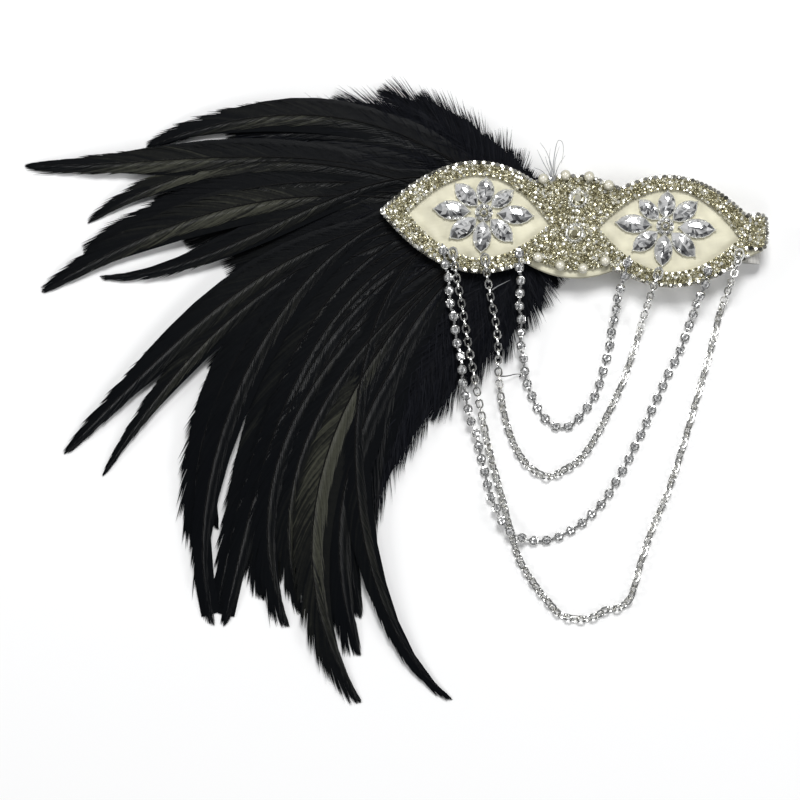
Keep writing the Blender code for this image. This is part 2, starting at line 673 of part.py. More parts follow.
def smooth_route(points, step):
    """Points about a step apart on a smooth curve through the chosen ones."""
    knots = [Vector(point) for point in points]
    knots = [knots[0] * 2 - knots[1]] + knots + [knots[-1] * 2 - knots[-2]]
    fine = []
    parts = 12
    for a, b, c, d in zip(knots, knots[1:], knots[2:], knots[3:]):
        for i in range(parts):
            t = i / parts
            fine.append(0.5 * (2 * b + (c - a) * t + (2 * a - 5 * b + 4 * c - d) * t * t
                               + (3 * b - a - 3 * c + d) * t ** 3))
    fine.append(knots[-2])
    lengths = [0.0]
    for a, b in zip(fine, fine[1:]):
        lengths.append(lengths[-1] + (b - a).length)
    count = max(2, round(lengths[-1] / step))
    route = []
    index = 0
    for i in range(count + 1):
        target = lengths[-1] * i / count
        while index < len(lengths) - 2 and lengths[index + 1] < target:
            index += 1
        span = lengths[index + 1] - lengths[index]
        route.append(fine[index].lerp(fine[index + 1], (target - lengths[index]) / span))
    return route


def chain_points(name):
    """Chosen points of one chain, in metres."""
    return [Vector(point) * MM for point in CHAIN_ROUTES[name]]


def build_link_chain(name):
    """A trace chain as a round tube along its route."""
    route = smooth_route(chain_points(name), LINK_CHAIN_STEP)
    curve = bpy.data.curves.new(name, "CURVE")
    curve.dimensions = "3D"
    curve.bevel_depth = LINK_CHAIN_DIAMETER / 2
    curve.bevel_resolution = 1
    curve.use_fill_caps = True
    spline = curve.splines.new("POLY")
    spline.points.add(len(route) - 1)
    for point, place in zip(spline.points, route):
        point.co = (*place, 1.0)
    curve.materials.append(material("silver"))
    piece = bpy.data.objects.new(name, curve)
    bpy.context.scene.collection.objects.link(piece)


def build_cup_chain(name):
    """A chain of eight-sided cups with their stones, joined by short bars."""
    route = smooth_route(chain_points(name), CUP_PITCH)
    corner = CUP_DIAMETER / 2 / math.cos(math.pi / CUP_SIDES)
    up = Vector((0, 0, 1))
    bm = bmesh.new()
    cups = []
    for i, place in enumerate(route):
        along = (route[min(len(route) - 1, i + 1)] - route[max(0, i - 1)]).normalized()
        side = up.cross(along).normalized()
        rise = along.cross(side)
        cup = []
        for radius, height in ((corner, 0.0), (corner, CUP_WALL), (corner * CUP_TABLE_SHARE, CUP_HEIGHT)):
            ring = []
            for k in range(CUP_SIDES):
                angle = 2 * math.pi * (k - 0.5) / CUP_SIDES
                offset = along * radius * math.cos(angle) + side * radius * math.sin(angle) + rise * height
                ring.append(bm.verts.new(place + offset))
            cup.append(ring)
        cups.append(cup)
    front = 0
    back = CUP_SIDES // 2
    last = len(cups) - 1
    for number, (foot, wall, table) in enumerate(cups):
        bm.faces.new(foot)
        bm.faces.new(table)
        for k in range(CUP_SIDES):
            n = (k + 1) % CUP_SIDES
            bm.faces.new((wall[k], wall[n], table[n], table[k]))
            joined = (k == front and number < last) or (k == back and number > 0)
            if not joined:
                bm.faces.new((foot[k], foot[n], wall[n], wall[k]))
    for (foot, wall, _), (next_foot, next_wall, _) in zip(cups, cups[1:]):
        bm.faces.new((foot[front], next_foot[back + 1], next_foot[back], foot[front + 1]))
        bm.faces.new((wall[front], wall[front + 1], next_wall[back], next_wall[back + 1]))
        bm.faces.new((foot[front], wall[front], next_wall[back + 1], next_foot[back + 1]))
        bm.faces.new((foot[front + 1], next_foot[back], next_wall[back], wall[front + 1]))
    add_object(name, "silver", bm)


def bearing_vector(degrees, length=1.0):
    """Vector in the floor's plane at a bearing."""
    turn = math.radians(degrees)
    return Vector((math.cos(turn), math.sin(turn))) * length


def blade_point(row, reach, share):
    """Place and direction at a share of a feather's curved route."""
    chord = row["reach"] * reach
    start = Vector((ROOT_X, ROOT_Y))
    end = start + bearing_vector(row["bearing"], chord)
    first = start + bearing_vector(row["leave"], chord * LEAVE_SHARE)
    second = end - bearing_vector(row["arrive"], chord * ARRIVE_SHARE)
    rest = 1.0 - share
    place = start * rest ** 3 + first * 3 * rest * rest * share + second * 3 * rest * share * share + end * share ** 3
    along = (first - start) * rest * rest + (second - first) * 2 * rest * share + (end - second) * share * share
    return place, along.normalized()


def blade_height(share, root_z, arch):
    """Height of a feather's edge at a share of its route: up over an arch and down to the floor."""
    return root_z + (FEATHER_TIP_Z - root_z) * share + arch * 4 * share * (1.0 - share)


def blade_solid(row, reach, width, ridge, root_z, arch, profile):
    """A long blade with a raised shaft, from inside the head out to a point."""
    lift = row.get("layer", 0) * ridge * LAYER_STEP_SHARE
    rings = []
    for station in profile:
        place, along = blade_point(row, reach, station["along"])
        half = width * row["width"] * station["width"] / 2
        side = Vector((-along.y, along.x)) * half
        z = blade_height(station["along"], root_z, arch) + lift * (1.0 - station["along"])
        thick = ridge * (BLADE_TIP_SHARE + (1.0 - BLADE_TIP_SHARE) * station["width"])
        rings.append([
            (place.x + side.x, place.y + side.y, z),
            (place.x, place.y, z + thick * BLADE_UPPER_SHARE),
            (place.x - side.x, place.y - side.y, z),
            (place.x, place.y, z - thick * (1.0 - BLADE_UPPER_SHARE)),
        ])
    tip, _ = blade_point(row, reach, 1.0)
    bm = loft(rings)
    bm.verts.ensure_lookup_table()
    bm.faces.ensure_lookup_table()
    cap = bm.faces[-1]
    ring = list(cap.verts)
    bm.faces.remove(cap)
    point = bm.verts.new((tip.x, tip.y, FEATHER_TIP_Z))
    for here, after in zip(ring, ring[1:] + ring[:1]):
        bm.faces.new((here, after, point))
    return bm


def head_ring(share, z):
    """One ring of the head's skin at a share of its reach."""
    closed = HEAD_OUTLINE + ({"bearing": 360.0, "reach": HEAD_OUTLINE[0]["reach"]},)
    points = []
    for i in range(HEAD_SIDES):
        bearing = 360.0 * i / HEAD_SIDES
        out = bearing_vector(bearing, between(closed, "bearing", "reach", bearing) * HEAD_REACH * share)
        points.append((ROOT_X + out.x, ROOT_Y + out.y, z))
    return points


def head_solid():
    """The crowned body of down that all feathers and locks grow from."""
    height = UNDERSIDE_Z - SEAT - PLUME_CLEARANCE_Z
    return loft([head_ring(row["along"], PLUME_CLEARANCE_Z + height * row["level"]) for row in HEAD_RINGS])


def fuse(name, finish, parts):
    """Join overlapping closed shapes into one object by Boolean unions."""
    base = add_object(name, finish, parts[0])
    for part in parts[1:]:
        tool = add_object(name + "_part", finish, part)
        union = base.modifiers.new("union", "BOOLEAN")
        union.operation = "UNION"
        union.solver = "EXACT"
        union.use_self = True
        union.object = tool
        graph = bpy.context.evaluated_depsgraph_get()
        joined = bpy.data.meshes.new_from_object(base.evaluated_get(graph))
        base.modifiers.clear()
        base.data = joined
        bpy.data.objects.remove(tool, do_unlink=True)
    return base


def build_plume():
    """Feathers and locks of down, fused to the head."""
    parts = [head_solid()]
    for row in LOCKS:
        parts.append(blade_solid(row, LOCK_REACH, LOCK_WIDTH, LOCK_RIDGE, LOCK_ROOT_Z, LOCK_ARCH, LOCK_PROFILE))
    for row in FEATHERS:
        parts.append(blade_solid(
            row, FEATHER_REACH, FEATHER_WIDTH, FEATHER_RIDGE, FEATHER_ROOT_Z, FEATHER_ARCH, FEATHER_PROFILE))
    fuse("plume", "feather", parts)


def main():
    """Build the whole headband."""
    clear_scene()
    build_strap()
    build_panel()
    build_crust()
    build_flowers()
    build_pearls()
    build_medallions()
    build_cup_chain("cup_chain_long")
    build_cup_chain("cup_chain_short")
    build_link_chain("link_chain_long")
    build_link_chain("link_chain_middle")
    build_plume()


main()
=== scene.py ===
"""Looks of a feather headband: a panel of cream satin and stones with a black plume and four swags of chain.

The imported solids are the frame. Every piece here is in metres, in the frame's place: +X along the panel to
its plain end, +Y to its upper edge, +Z up out of the jewelled face, the floor at zero.
"""

from __future__ import annotations

import json
import logging
import math
from dataclasses import dataclass, field
from enum import Enum

import bmesh
import bpy
import numpy as np
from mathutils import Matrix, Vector

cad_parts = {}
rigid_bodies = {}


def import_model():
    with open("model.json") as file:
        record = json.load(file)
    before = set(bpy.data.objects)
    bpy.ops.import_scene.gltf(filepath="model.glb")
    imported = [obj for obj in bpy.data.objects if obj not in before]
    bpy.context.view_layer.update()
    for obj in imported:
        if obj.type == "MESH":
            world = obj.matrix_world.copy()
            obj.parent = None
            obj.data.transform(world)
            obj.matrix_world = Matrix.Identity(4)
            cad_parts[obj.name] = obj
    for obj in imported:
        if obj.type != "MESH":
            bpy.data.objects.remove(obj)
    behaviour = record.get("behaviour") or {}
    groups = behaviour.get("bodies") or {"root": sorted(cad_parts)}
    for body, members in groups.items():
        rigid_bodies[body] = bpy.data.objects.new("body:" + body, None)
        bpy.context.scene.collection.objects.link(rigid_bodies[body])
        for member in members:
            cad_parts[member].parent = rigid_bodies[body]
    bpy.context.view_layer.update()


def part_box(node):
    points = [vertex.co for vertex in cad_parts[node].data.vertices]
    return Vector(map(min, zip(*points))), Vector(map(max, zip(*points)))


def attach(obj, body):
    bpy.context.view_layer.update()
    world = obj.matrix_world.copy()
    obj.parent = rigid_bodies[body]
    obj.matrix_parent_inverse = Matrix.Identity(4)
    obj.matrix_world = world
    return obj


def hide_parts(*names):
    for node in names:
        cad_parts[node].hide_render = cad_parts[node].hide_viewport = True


LOG = logging.getLogger("headband")

BODY = "root"
MM = 0.001

# The photograph's frame, in its own pixels, and how the panel lies in it
PHOTO_SIDE_PX = 800.0
PHOTO_CENTRE_PX = 400.0
PANEL_PX = (574.0, 222.0)
PANEL_TILT = math.radians(4.3)
METRES_PER_PX = 0.00054

# Panel, as the solids have it
HALF_LENGTH = 0.105
LOBE_X = 0.0515
LOBE_TOP = 0.029
LOBE_BOTTOM = -0.0315
TIP_Y = -0.002
CENTRE_TOP = 0.0255
CENTRE_BOTTOM = -0.0305
CENTRE_DROP_TOP = 0.22
CENTRE_DROP_BOTTOM = 0.20
CENTRE_HALF = 0.024
WINDOW_OUTER_X = 0.0905
WINDOW_INNER_X = 0.0125
WINDOW_TOP = 0.0218
WINDOW_BOTTOM = -0.0240
TAB_LENGTH = 0.0085
TAB_POINT = 0.0020
TAB_TOP = 0.0115
TAB_BOTTOM = -0.0080
FLOWER_X = 0.0490
FLOWER_Y = 0.0013
FLOWER_CENTRE_RADIUS = 0.0060
TAB_CORNER_X = HALF_LENGTH - TAB_POINT
TAB_START_X = TAB_CORNER_X - TAB_LENGTH

# Chosen points of each chain, in millimetres, as the solids have them
CHAIN_ROUTES: dict[str, tuple[tuple[float, float, float], ...]] = {
    "link_chain_long": (
        (-64.0, -22.0, 20.9), (-62.3, -29.0, 21.0), (-60.7, -36.0, 18.6), (-57.7, -46.6, 16.0),
        (-53.8, -62.5, 14.8), (-50.6, -75.8, 13.0), (-46.2, -91.7, 9.5), (-41.0, -110.3, 4.5),
        (-34.5, -131.5, 2.5), (-27.0, -152.6, 2.5), (-21.4, -168.9, 2.5), (-15.4, -184.2, 2.5),
        (-6.3, -197.0, 2.5), (2.5, -206.7, 2.5), (9.5, -212.6, 2.5), (19.3, -214.1, 2.5),
        (27.5, -212.0, 2.5), (33.9, -207.8, 2.5), (39.8, -206.6, 2.5), (44.8, -202.6, 2.5),
        (47.3, -196.8, 2.5), (49.6, -184.7, 2.5), (52.1, -173.7, 2.5), (55.9, -159.9, 2.5),
        (61.7, -143.2, 2.5), (66.7, -123.9, 2.5), (71.6, -101.8, 2.5), (75.5, -82.6, 2.5),
        (79.5, -63.3, 2.5), (82.7, -44.0, 2.5), (85.4, -33.0, 8.0), (87.0, -25.0, 16.2),
        (88.4, -18.5, 21.0), (89.6, -11.0, 20.9),
    ),
    "cup_chain_long": (
        (-69.2, -21.0, 18.9), (-67.4, -28.0, 19.2), (-66.0, -34.8, 17.2), (-63.9, -44.3, 14.6),
        (-60.8, -57.6, 14.0), (-57.6, -70.9, 13.4), (-54.4, -84.2, 12.0), (-51.6, -97.5, 9.6),
        (-47.6, -109.7, 6.2), (-42.9, -122.3, 2.2), (-38.9, -134.5, 0.4), (-34.6, -147.7, 1.2),
        (-30.0, -158.6, 4.0), (-24.8, -166.5, 5.2), (-18.0, -171.6, 5.0), (-10.8, -173.2, 1.8),
        (-2.7, -172.9, 0.4), (5.2, -170.2, 0.4), (11.9, -165.9, 0.4), (18.6, -160.5, 0.4),
        (24.0, -154.2, 0.4), (28.9, -147.3, 0.4), (37.0, -131.5, 0.4), (45.7, -110.3, 0.4),
        (54.6, -85.8, 0.4), (63.3, -63.5, 0.4), (67.0, -50.0, 1.2), (69.4, -40.5, 7.5),
        (71.2, -33.0, 15.2), (72.6, -27.0, 19.1), (73.8, -21.0, 18.9),
    ),
    "link_chain_middle": (
        (-46.5, -24.0, 20.9), (-45.0, -31.5, 21.0), (-43.4, -38.0, 18.6), (-41.0, -47.3, 16.2),
        (-37.8, -58.6, 14.2), (-35.7, -72.0, 11.2), (-34.2, -85.4, 7.4), (-31.6, -98.8, 3.6),
        (-26.6, -114.6, 2.5), (-19.6, -127.7, 2.5), (-11.5, -135.2, 2.5), (-3.1, -138.3, 2.5),
        (5.2, -133.9, 2.5), (12.9, -127.9, 2.5), (20.1, -116.5, 2.5), (30.7, -91.4, 2.5),
        (35.1, -77.5, 2.5), (39.2, -60.9, 2.5), (41.8, -47.5, 8.0), (43.7, -37.5, 17.4),
        (45.3, -31.0, 21.0), (47.0, -24.5, 20.9),
    ),
    "cup_chain_short": (
        (-28.4, -19.5, 18.9), (-27.6, -26.0, 19.2), (-27.0, -32.5, 16.8), (-26.2, -41.5, 13.4),
        (-24.6, -54.9, 11.2), (-22.8, -71.0, 7.6), (-19.7, -84.3, 3.0), (-15.0, -95.9, 0.6),
        (-10.1, -103.6, 0.4), (-3.7, -109.7, 0.4), (3.0, -111.3, 0.4), (9.1, -107.1, 0.4),
        (14.1, -100.7, 0.4), (18.4, -93.4, 0.4), (22.2, -79.6, 0.4), (24.6, -65.5, 0.4),
        (25.6, -51.9, 1.8), (26.6, -41.5, 9.0), (27.8, -33.0, 16.4), (29.0, -26.6, 19.2),
        (30.5, -20.0, 18.9),
    ),
}


class Stone(Enum):
    """How a small stone is cut."""

    FACETED = "faceted"
    BEAD = "bead"


class Sketch:
    """A node tree being drawn, one call for each node."""

    def __init__(self, tree: bpy.types.NodeTree) -> None:
        """Start on an existing tree.

        Args:
            tree: the shader or geometry tree to draw in.
        """
        self.tree = tree

    def add(self, kind: str, inputs: dict | None = None, **settings: object) -> bpy.types.Node:
        """Add a node.

        Args:
            kind: the node's type name.
            inputs: values or output sockets, by the input's name or number.
            settings: the node's own properties.

        Returns:
            The new node.
        """
        node = self.tree.nodes.new(kind)
        for name, value in settings.items():
            setattr(node, name, value)
        for key, value in (inputs or {}).items():
            socket = node.inputs[key]
            if isinstance(value, bpy.types.NodeSocket):
                self.tree.links.new(value, socket)
            else:
                socket.default_value = value
        return node


class Skin(Sketch):
    """A material's node tree and the shader that it feeds."""

    def __init__(self, tree: bpy.types.NodeTree, shader: bpy.types.Node) -> None:
        """Start on a material.

        Args:
            tree: its tree.
            shader: its Principled shader.
        """
        super().__init__(tree)
        self.shader = shader

    def place(self, scale: tuple[float, float, float] = (1, 1, 1)) -> bpy.types.NodeSocket:
        """Return the piece's coordinates times a scale."""
        coordinate = self.add("ShaderNodeTexCoord")
        mapping = self.add("ShaderNodeMapping", {"Vector": coordinate.outputs["Object"], "Scale": scale})
        return mapping.outputs["Vector"]

    def carried(self, name: str) -> bpy.types.NodeSocket:
        """Return the value that the mesh carries under a name."""
        node = self.add("ShaderNodeAttribute", attribute_name=name, attribute_type="GEOMETRY")
        return node.outputs["Fac"]

    def cloud(self, scale: tuple[float, float, float], detail: float, roughness: float,
              distortion: float = 0.0) -> bpy.types.NodeSocket:
        """Return soft noise.

        Args:
            scale: how fine it is along each axis.
            detail: how many finer layers it has.
            roughness: how strong they are.
            distortion: how far it is stirred.

        Returns:
            The noise, about 0.5 in its middle.
        """
        node = self.add("ShaderNodeTexNoise", {
            "Vector": self.place(scale), "Scale": 1.0, "Detail": detail, "Roughness": roughness,
            "Distortion": distortion})
        return node.outputs["Fac"]

    def swing(self, value: bpy.types.NodeSocket, middle: float, gain: float,
              base: bpy.types.NodeSocket) -> bpy.types.NodeSocket:
        """Return a base that swings with a value.

        Args:
            value: what it swings with.
            middle: the value that leaves the base as it is.
            gain: how far it swings.
            base: where it starts from.

        Returns:
            The base plus the gain times the value's distance from its middle.
        """
        offset = self.add("ShaderNodeMath", {0: value, 1: middle}, operation="SUBTRACT")
        total = self.add("ShaderNodeMath", {0: offset.outputs[0], 1: gain, 2: base},
                         operation="MULTIPLY_ADD")
        return total.outputs[0]

    def tint(self, factor: bpy.types.NodeSocket, stops: tuple) -> None:
        """Colour the shader by a ramp.

        Args:
            factor: what drives the ramp.
            stops: pairs of place and colour.
        """
        node = self.add("ShaderNodeValToRGB", {"Fac": factor})
        elements = node.color_ramp.elements
        while len(elements) < len(stops):
            elements.new(0.5)
        for element, (position, colour) in zip(elements, stops):
            element.position = position
            element.color = (*colour, 1.0)
        self.tree.links.new(node.outputs["Color"], self.shader.inputs["Base Color"])

    def relief(self, height: bpy.types.NodeSocket, strength: float, depth: float,
               invert: bool = False) -> None:
        """Roughen the shader's surface by a pattern.

        Args:
            height: the pattern.
            strength: how strongly it shows.
            depth: its height in metres.
            invert: whether high values lie low.
        """
        bump = self.add("ShaderNodeBump", {"Height": height, "Strength": strength, "Distance": depth},
                        invert=invert)
        self.tree.links.new(bump.outputs["Normal"], self.shader.inputs["Normal"])


@dataclass(frozen=True)
class Finish:
    """A surface that starts from one shader and a pattern on the piece's own coordinates."""

    name: str
    colour: tuple[float, float, float]
    roughness: float = 0.5
    metallic: float = 0.0
    settings: tuple[tuple[str, float], ...] = ()

    def make(self) -> bpy.types.Material:
        """Return the material, built on first use."""
        found = bpy.data.materials.get(self.name)
        if found is not None:
            return found
        material = bpy.data.materials.new(self.name)
        material.use_nodes = True
        material.diffuse_color = (*self.colour, 1.0)
        tree = material.node_tree
        shader = tree.nodes["Principled BSDF"]
        shader.inputs["Base Color"].default_value = (*self.colour, 1.0)
        shader.inputs["Roughness"].default_value = self.roughness
        shader.inputs["Metallic"].default_value = self.metallic
        for name, value in self.settings:
            shader.inputs[name].default_value = value
        self.pattern(Skin(tree, shader))
        return material

    def pattern(self, skin: Skin) -> None:
        """Draw the surface's pattern.

        Args:
            skin: the material to draw in.
        """


@dataclass(frozen=True)
class Satin(Finish):
    """Cream satin with a soft lustre, faint threads and slow changes of shade."""

    shade: tuple[float, float, float] = (0.56, 0.535, 0.41)

    def pattern(self, skin: Skin) -> None:
        """Draw the shading and the threads.

        Args:
            skin: the material to draw in.
        """
        cloud = skin.cloud((60, 60, 60), 3.0, 0.5)
        skin.tint(cloud, ((0.30, self.shade), (0.62, self.colour)))
        thread = skin.add("ShaderNodeTexWave", {
            "Vector": skin.place(), "Scale": 420.0, "Distortion": 1.4, "Detail": 2.0,
            "Detail Scale": 2.0},
            wave_type="BANDS", bands_direction="Y")
        skin.relief(thread.outputs["Fac"], 0.12, 0.0002)


@dataclass(frozen=True)
class Felt(Finish):
    """Pressed felt with matted fibres."""

    dark: float = 0.72

    def pattern(self, skin: Skin) -> None:
        """Draw the fibres.

        Args:
            skin: the material to draw in.
        """
        fibre = skin.cloud((900, 2600, 900), 6.0, 0.75, 1.2)
        shade = tuple(self.dark * part for part in self.colour)
        skin.tint(fibre, ((0.30, shade), (0.66, self.colour)))
        skin.relief(fibre, 0.6, 0.0004)


@dataclass(frozen=True)
class Elastic(Finish):
    """Woven elastic: fine cross threads over its ribs."""

    dark: float = 0.62

    def pattern(self, skin: Skin) -> None:
        """Draw the cross threads.

        Args:
            skin: the material to draw in.
        """
        thread = skin.add("ShaderNodeTexWave", {
            "Vector": skin.place(), "Scale": 380.0, "Distortion": 0.8, "Detail": 1.0},
            wave_type="BANDS", bands_direction="X", wave_profile="SIN")
        shade = tuple(self.dark * part for part in self.colour)
        skin.tint(thread.outputs["Fac"], ((0.15, shade), (0.75, self.colour)))
        skin.relief(thread.outputs["Fac"], 0.5, 0.0002)


@dataclass(frozen=True)
class Plating(Finish):
    """Bright plate with faint tarnish and polishing marks."""

    tarnish: tuple[float, float, float] = (0.52, 0.51, 0.47)
    dullest: float = 1.7
    brightest: float = 0.7

    def pattern(self, skin: Skin) -> None:
        """Draw the tarnish and the uneven polish.

        Args:
            skin: the material to draw in.
        """
        cloud = skin.cloud((260, 260, 260), 4.0, 0.6)
        skin.tint(cloud, ((0.28, self.tarnish), (0.55, self.colour)))
        polish = skin.add("ShaderNodeMapRange", {
            "Value": cloud, "From Min": 0.3, "From Max": 0.7, "To Min": self.roughness * self.dullest,
            "To Max": self.roughness * self.brightest})
        skin.tree.links.new(polish.outputs["Result"], skin.shader.inputs["Roughness"])


@dataclass(frozen=True)
class Toned(Finish):
    """A surface whose colour follows the tone that each small piece carries."""

    stops: tuple = ((0.0, (0.05, 0.05, 0.03)), (1.0, (0.9, 0.9, 0.85)))

    def pattern(self, skin: Skin) -> None:
        """Draw the colour from the tone."""
        skin.tint(skin.carried("tone"), self.stops)


@dataclass(frozen=True)
class CutCrystal(Toned):
    """Foil-backed crystal with painted reflections: each facet carries its own painted shade, from dark to
    white, broken by painted glints from the cuts below it.
    """

    def pattern(self, skin: Skin) -> None:
        """Draw the facets' painted shades and the painted glints inside them.

        Args:
            skin: the material to draw in.
        """
        painted_glint = skin.add("ShaderNodeTexVoronoi", {"Vector": skin.place(), "Scale": 340.0})
        # Painted reflections: the facet's painted shade, swung by painted glints
        shade = skin.swing(painted_glint.outputs["Distance"], 0.45, 0.36, skin.carried("facet"))
        skin.tint(shade, self.stops)


@dataclass(frozen=True)
class Barbs(Toned):
    """Feather barbs: a tone for each barb, from blue-black to olive, broken by fine streaks. On the cock
    feathers the olive end is painted sheen.
    """

    def pattern(self, skin: Skin) -> None:
        """Draw the tone, broken by fine streaks.

        Args:
            skin: the material to draw in.
        """
        streak = skin.cloud((420, 420, 90), 5.0, 0.7)
        shade = skin.swing(streak, 0.5, 0.35, skin.carried("tone"))
        skin.tint(shade, self.stops)
        skin.relief(streak, 0.25, 0.0003)


@dataclass(frozen=True)
class PearlRimShade(Finish):
    """Pearl: cream with painted shade that darkens it to a warm grey towards its edge."""

    edges: tuple = ((0.28, (0.46, 0.44, 0.34)), (0.8, (0.27, 0.26, 0.19)), (1.0, (0.14, 0.135, 0.10)))

    def pattern(self, skin: Skin) -> None:
        """Draw the painted shade towards the edge.

        Args:
            skin: the material to draw in.
        """
        # Painted shade: the more a face turns from the camera, the darker its colour
        rim = skin.add("ShaderNodeLayerWeight", {"Blend": 0.35})
        skin.tint(rim.outputs["Facing"], ((0.0, self.colour), *self.edges))


@dataclass(frozen=True)
class Grit(Finish):
    """The glued and beaded ground between the stones."""

    bead_highlight: tuple[float, float, float] = (0.80, 0.77, 0.62)
    dark: tuple[float, float, float] = (0.07, 0.06, 0.03)

    def pattern(self, skin: Skin) -> None:
        """Draw cells as small as seed beads, each with a painted highlight in its middle and painted shade
        where it meets the next.

        Args:
            skin: the material to draw in.
        """
        cell = skin.add("ShaderNodeTexVoronoi", {"Vector": skin.place(), "Scale": 1100.0})
        # Painted light and shade: each cell is lighter in its middle and dark where cells meet
        skin.tint(cell.outputs["Distance"], (
            (0.0, self.bead_highlight), (0.35, self.colour), (0.75, self.dark)))
        skin.relief(cell.outputs["Distance"], 1.0, 0.0006, invert=True)


SATIN = Satin("satin_weave", (0.74, 0.71, 0.54), roughness=0.42, settings=(
    ("Sheen Weight", 0.35), ("Sheen Roughness", 0.4)))
FELT = Felt("pressed_felt", (0.60, 0.57, 0.44), roughness=0.95, settings=(("Sheen Weight", 0.3),))
ELASTIC = Elastic("woven_elastic", (0.58, 0.57, 0.54), roughness=0.6, settings=(("Sheen Weight", 0.2),))
GRIT = Grit("stone_ground", (0.34, 0.31, 0.17), roughness=0.35, metallic=0.5)
BRIGHT = Plating("silver_plate", (0.87, 0.87, 0.85), roughness=0.16, metallic=0.98)
CUP_METAL = Plating("cup_plate", (0.82, 0.82, 0.81), roughness=0.14, metallic=0.94,
                    tarnish=(0.42, 0.42, 0.40))
RIM_METAL = Plating("rim_plate", (0.88, 0.88, 0.84), roughness=0.24, metallic=0.75,
                    tarnish=(0.50, 0.49, 0.43))
# Crystal colours run from near black to white: painted reflections and shade on the facets
CRYSTAL = CutCrystal("cut_crystal", (0.82, 0.82, 0.82), roughness=0.08, metallic=0.55, stops=(
    (0.0, (0.040, 0.041, 0.044)), (0.24, (0.15, 0.152, 0.158)), (0.50, (0.47, 0.475, 0.48)),
    (0.78, (0.96, 0.96, 0.95)), (1.0, (1.0, 1.0, 1.0))),
    settings=(("Coat Weight", 0.6), ("Coat Roughness", 0.03)))
EDGE_STONES = Toned("edge_stones", (0.7, 0.7, 0.66), roughness=0.12, metallic=0.8, stops=(
    (0.0, (0.05, 0.05, 0.045)), (0.35, (0.30, 0.29, 0.25)), (0.7, (0.66, 0.65, 0.60)),
    (1.0, (0.97, 0.97, 0.95))))
STONES = Toned("small_stones", (0.7, 0.68, 0.55), roughness=0.18, metallic=0.65, stops=(
    (0.0, (0.07, 0.06, 0.03)), (0.22, (0.22, 0.20, 0.11)), (0.42, (0.39, 0.365, 0.235)),
    (0.62, (0.59, 0.565, 0.42)), (0.82, (0.78, 0.76, 0.64)), (1.0, (0.96, 0.96, 0.91))))
PEARL = PearlRimShade("pearl_skin", (0.74, 0.71, 0.60), roughness=0.16, settings=(
    ("Specular IOR Level", 1.0), ("Coat Weight", 1.0), ("Coat Roughness", 0.10)))
# Feather colours: blue-black rising to olive, where the olive stands for painted sheen
VANE = Barbs("feather_vane", (0.012, 0.012, 0.014), roughness=0.36, stops=(
    (0.0, (0.0007, 0.0012, 0.0022)), (0.40, (0.0017, 0.0023, 0.0031)), (0.72, (0.0085, 0.0090, 0.0078)),
    (1.0, (0.042, 0.043, 0.032))), settings=(("Specular IOR Level", 0.12),))
DOWN = Barbs("feather_down", (0.006, 0.007, 0.012), roughness=0.55, stops=(
    (0.0, (0.0014, 0.0018, 0.0034)), (0.6, (0.0034, 0.0042, 0.0075)), (1.0, (0.010, 0.011, 0.014))),
    settings=(("Specular IOR Level", 0.08),))
QUILL = Felt("quill", (0.0032, 0.0032, 0.0034), roughness=0.5, settings=(("Specular IOR Level", 0.08),))
STRAND = Plating("bare_strand", (0.30, 0.31, 0.33), roughness=0.45, metallic=0.2)


def add_object(name: str, data: bpy.types.ID) -> bpy.types.Object:
    """Return a new object of the scene that holds the data."""
    piece = bpy.data.objects.new(name, data)
    bpy.context.scene.collection.objects.link(piece)
    return piece


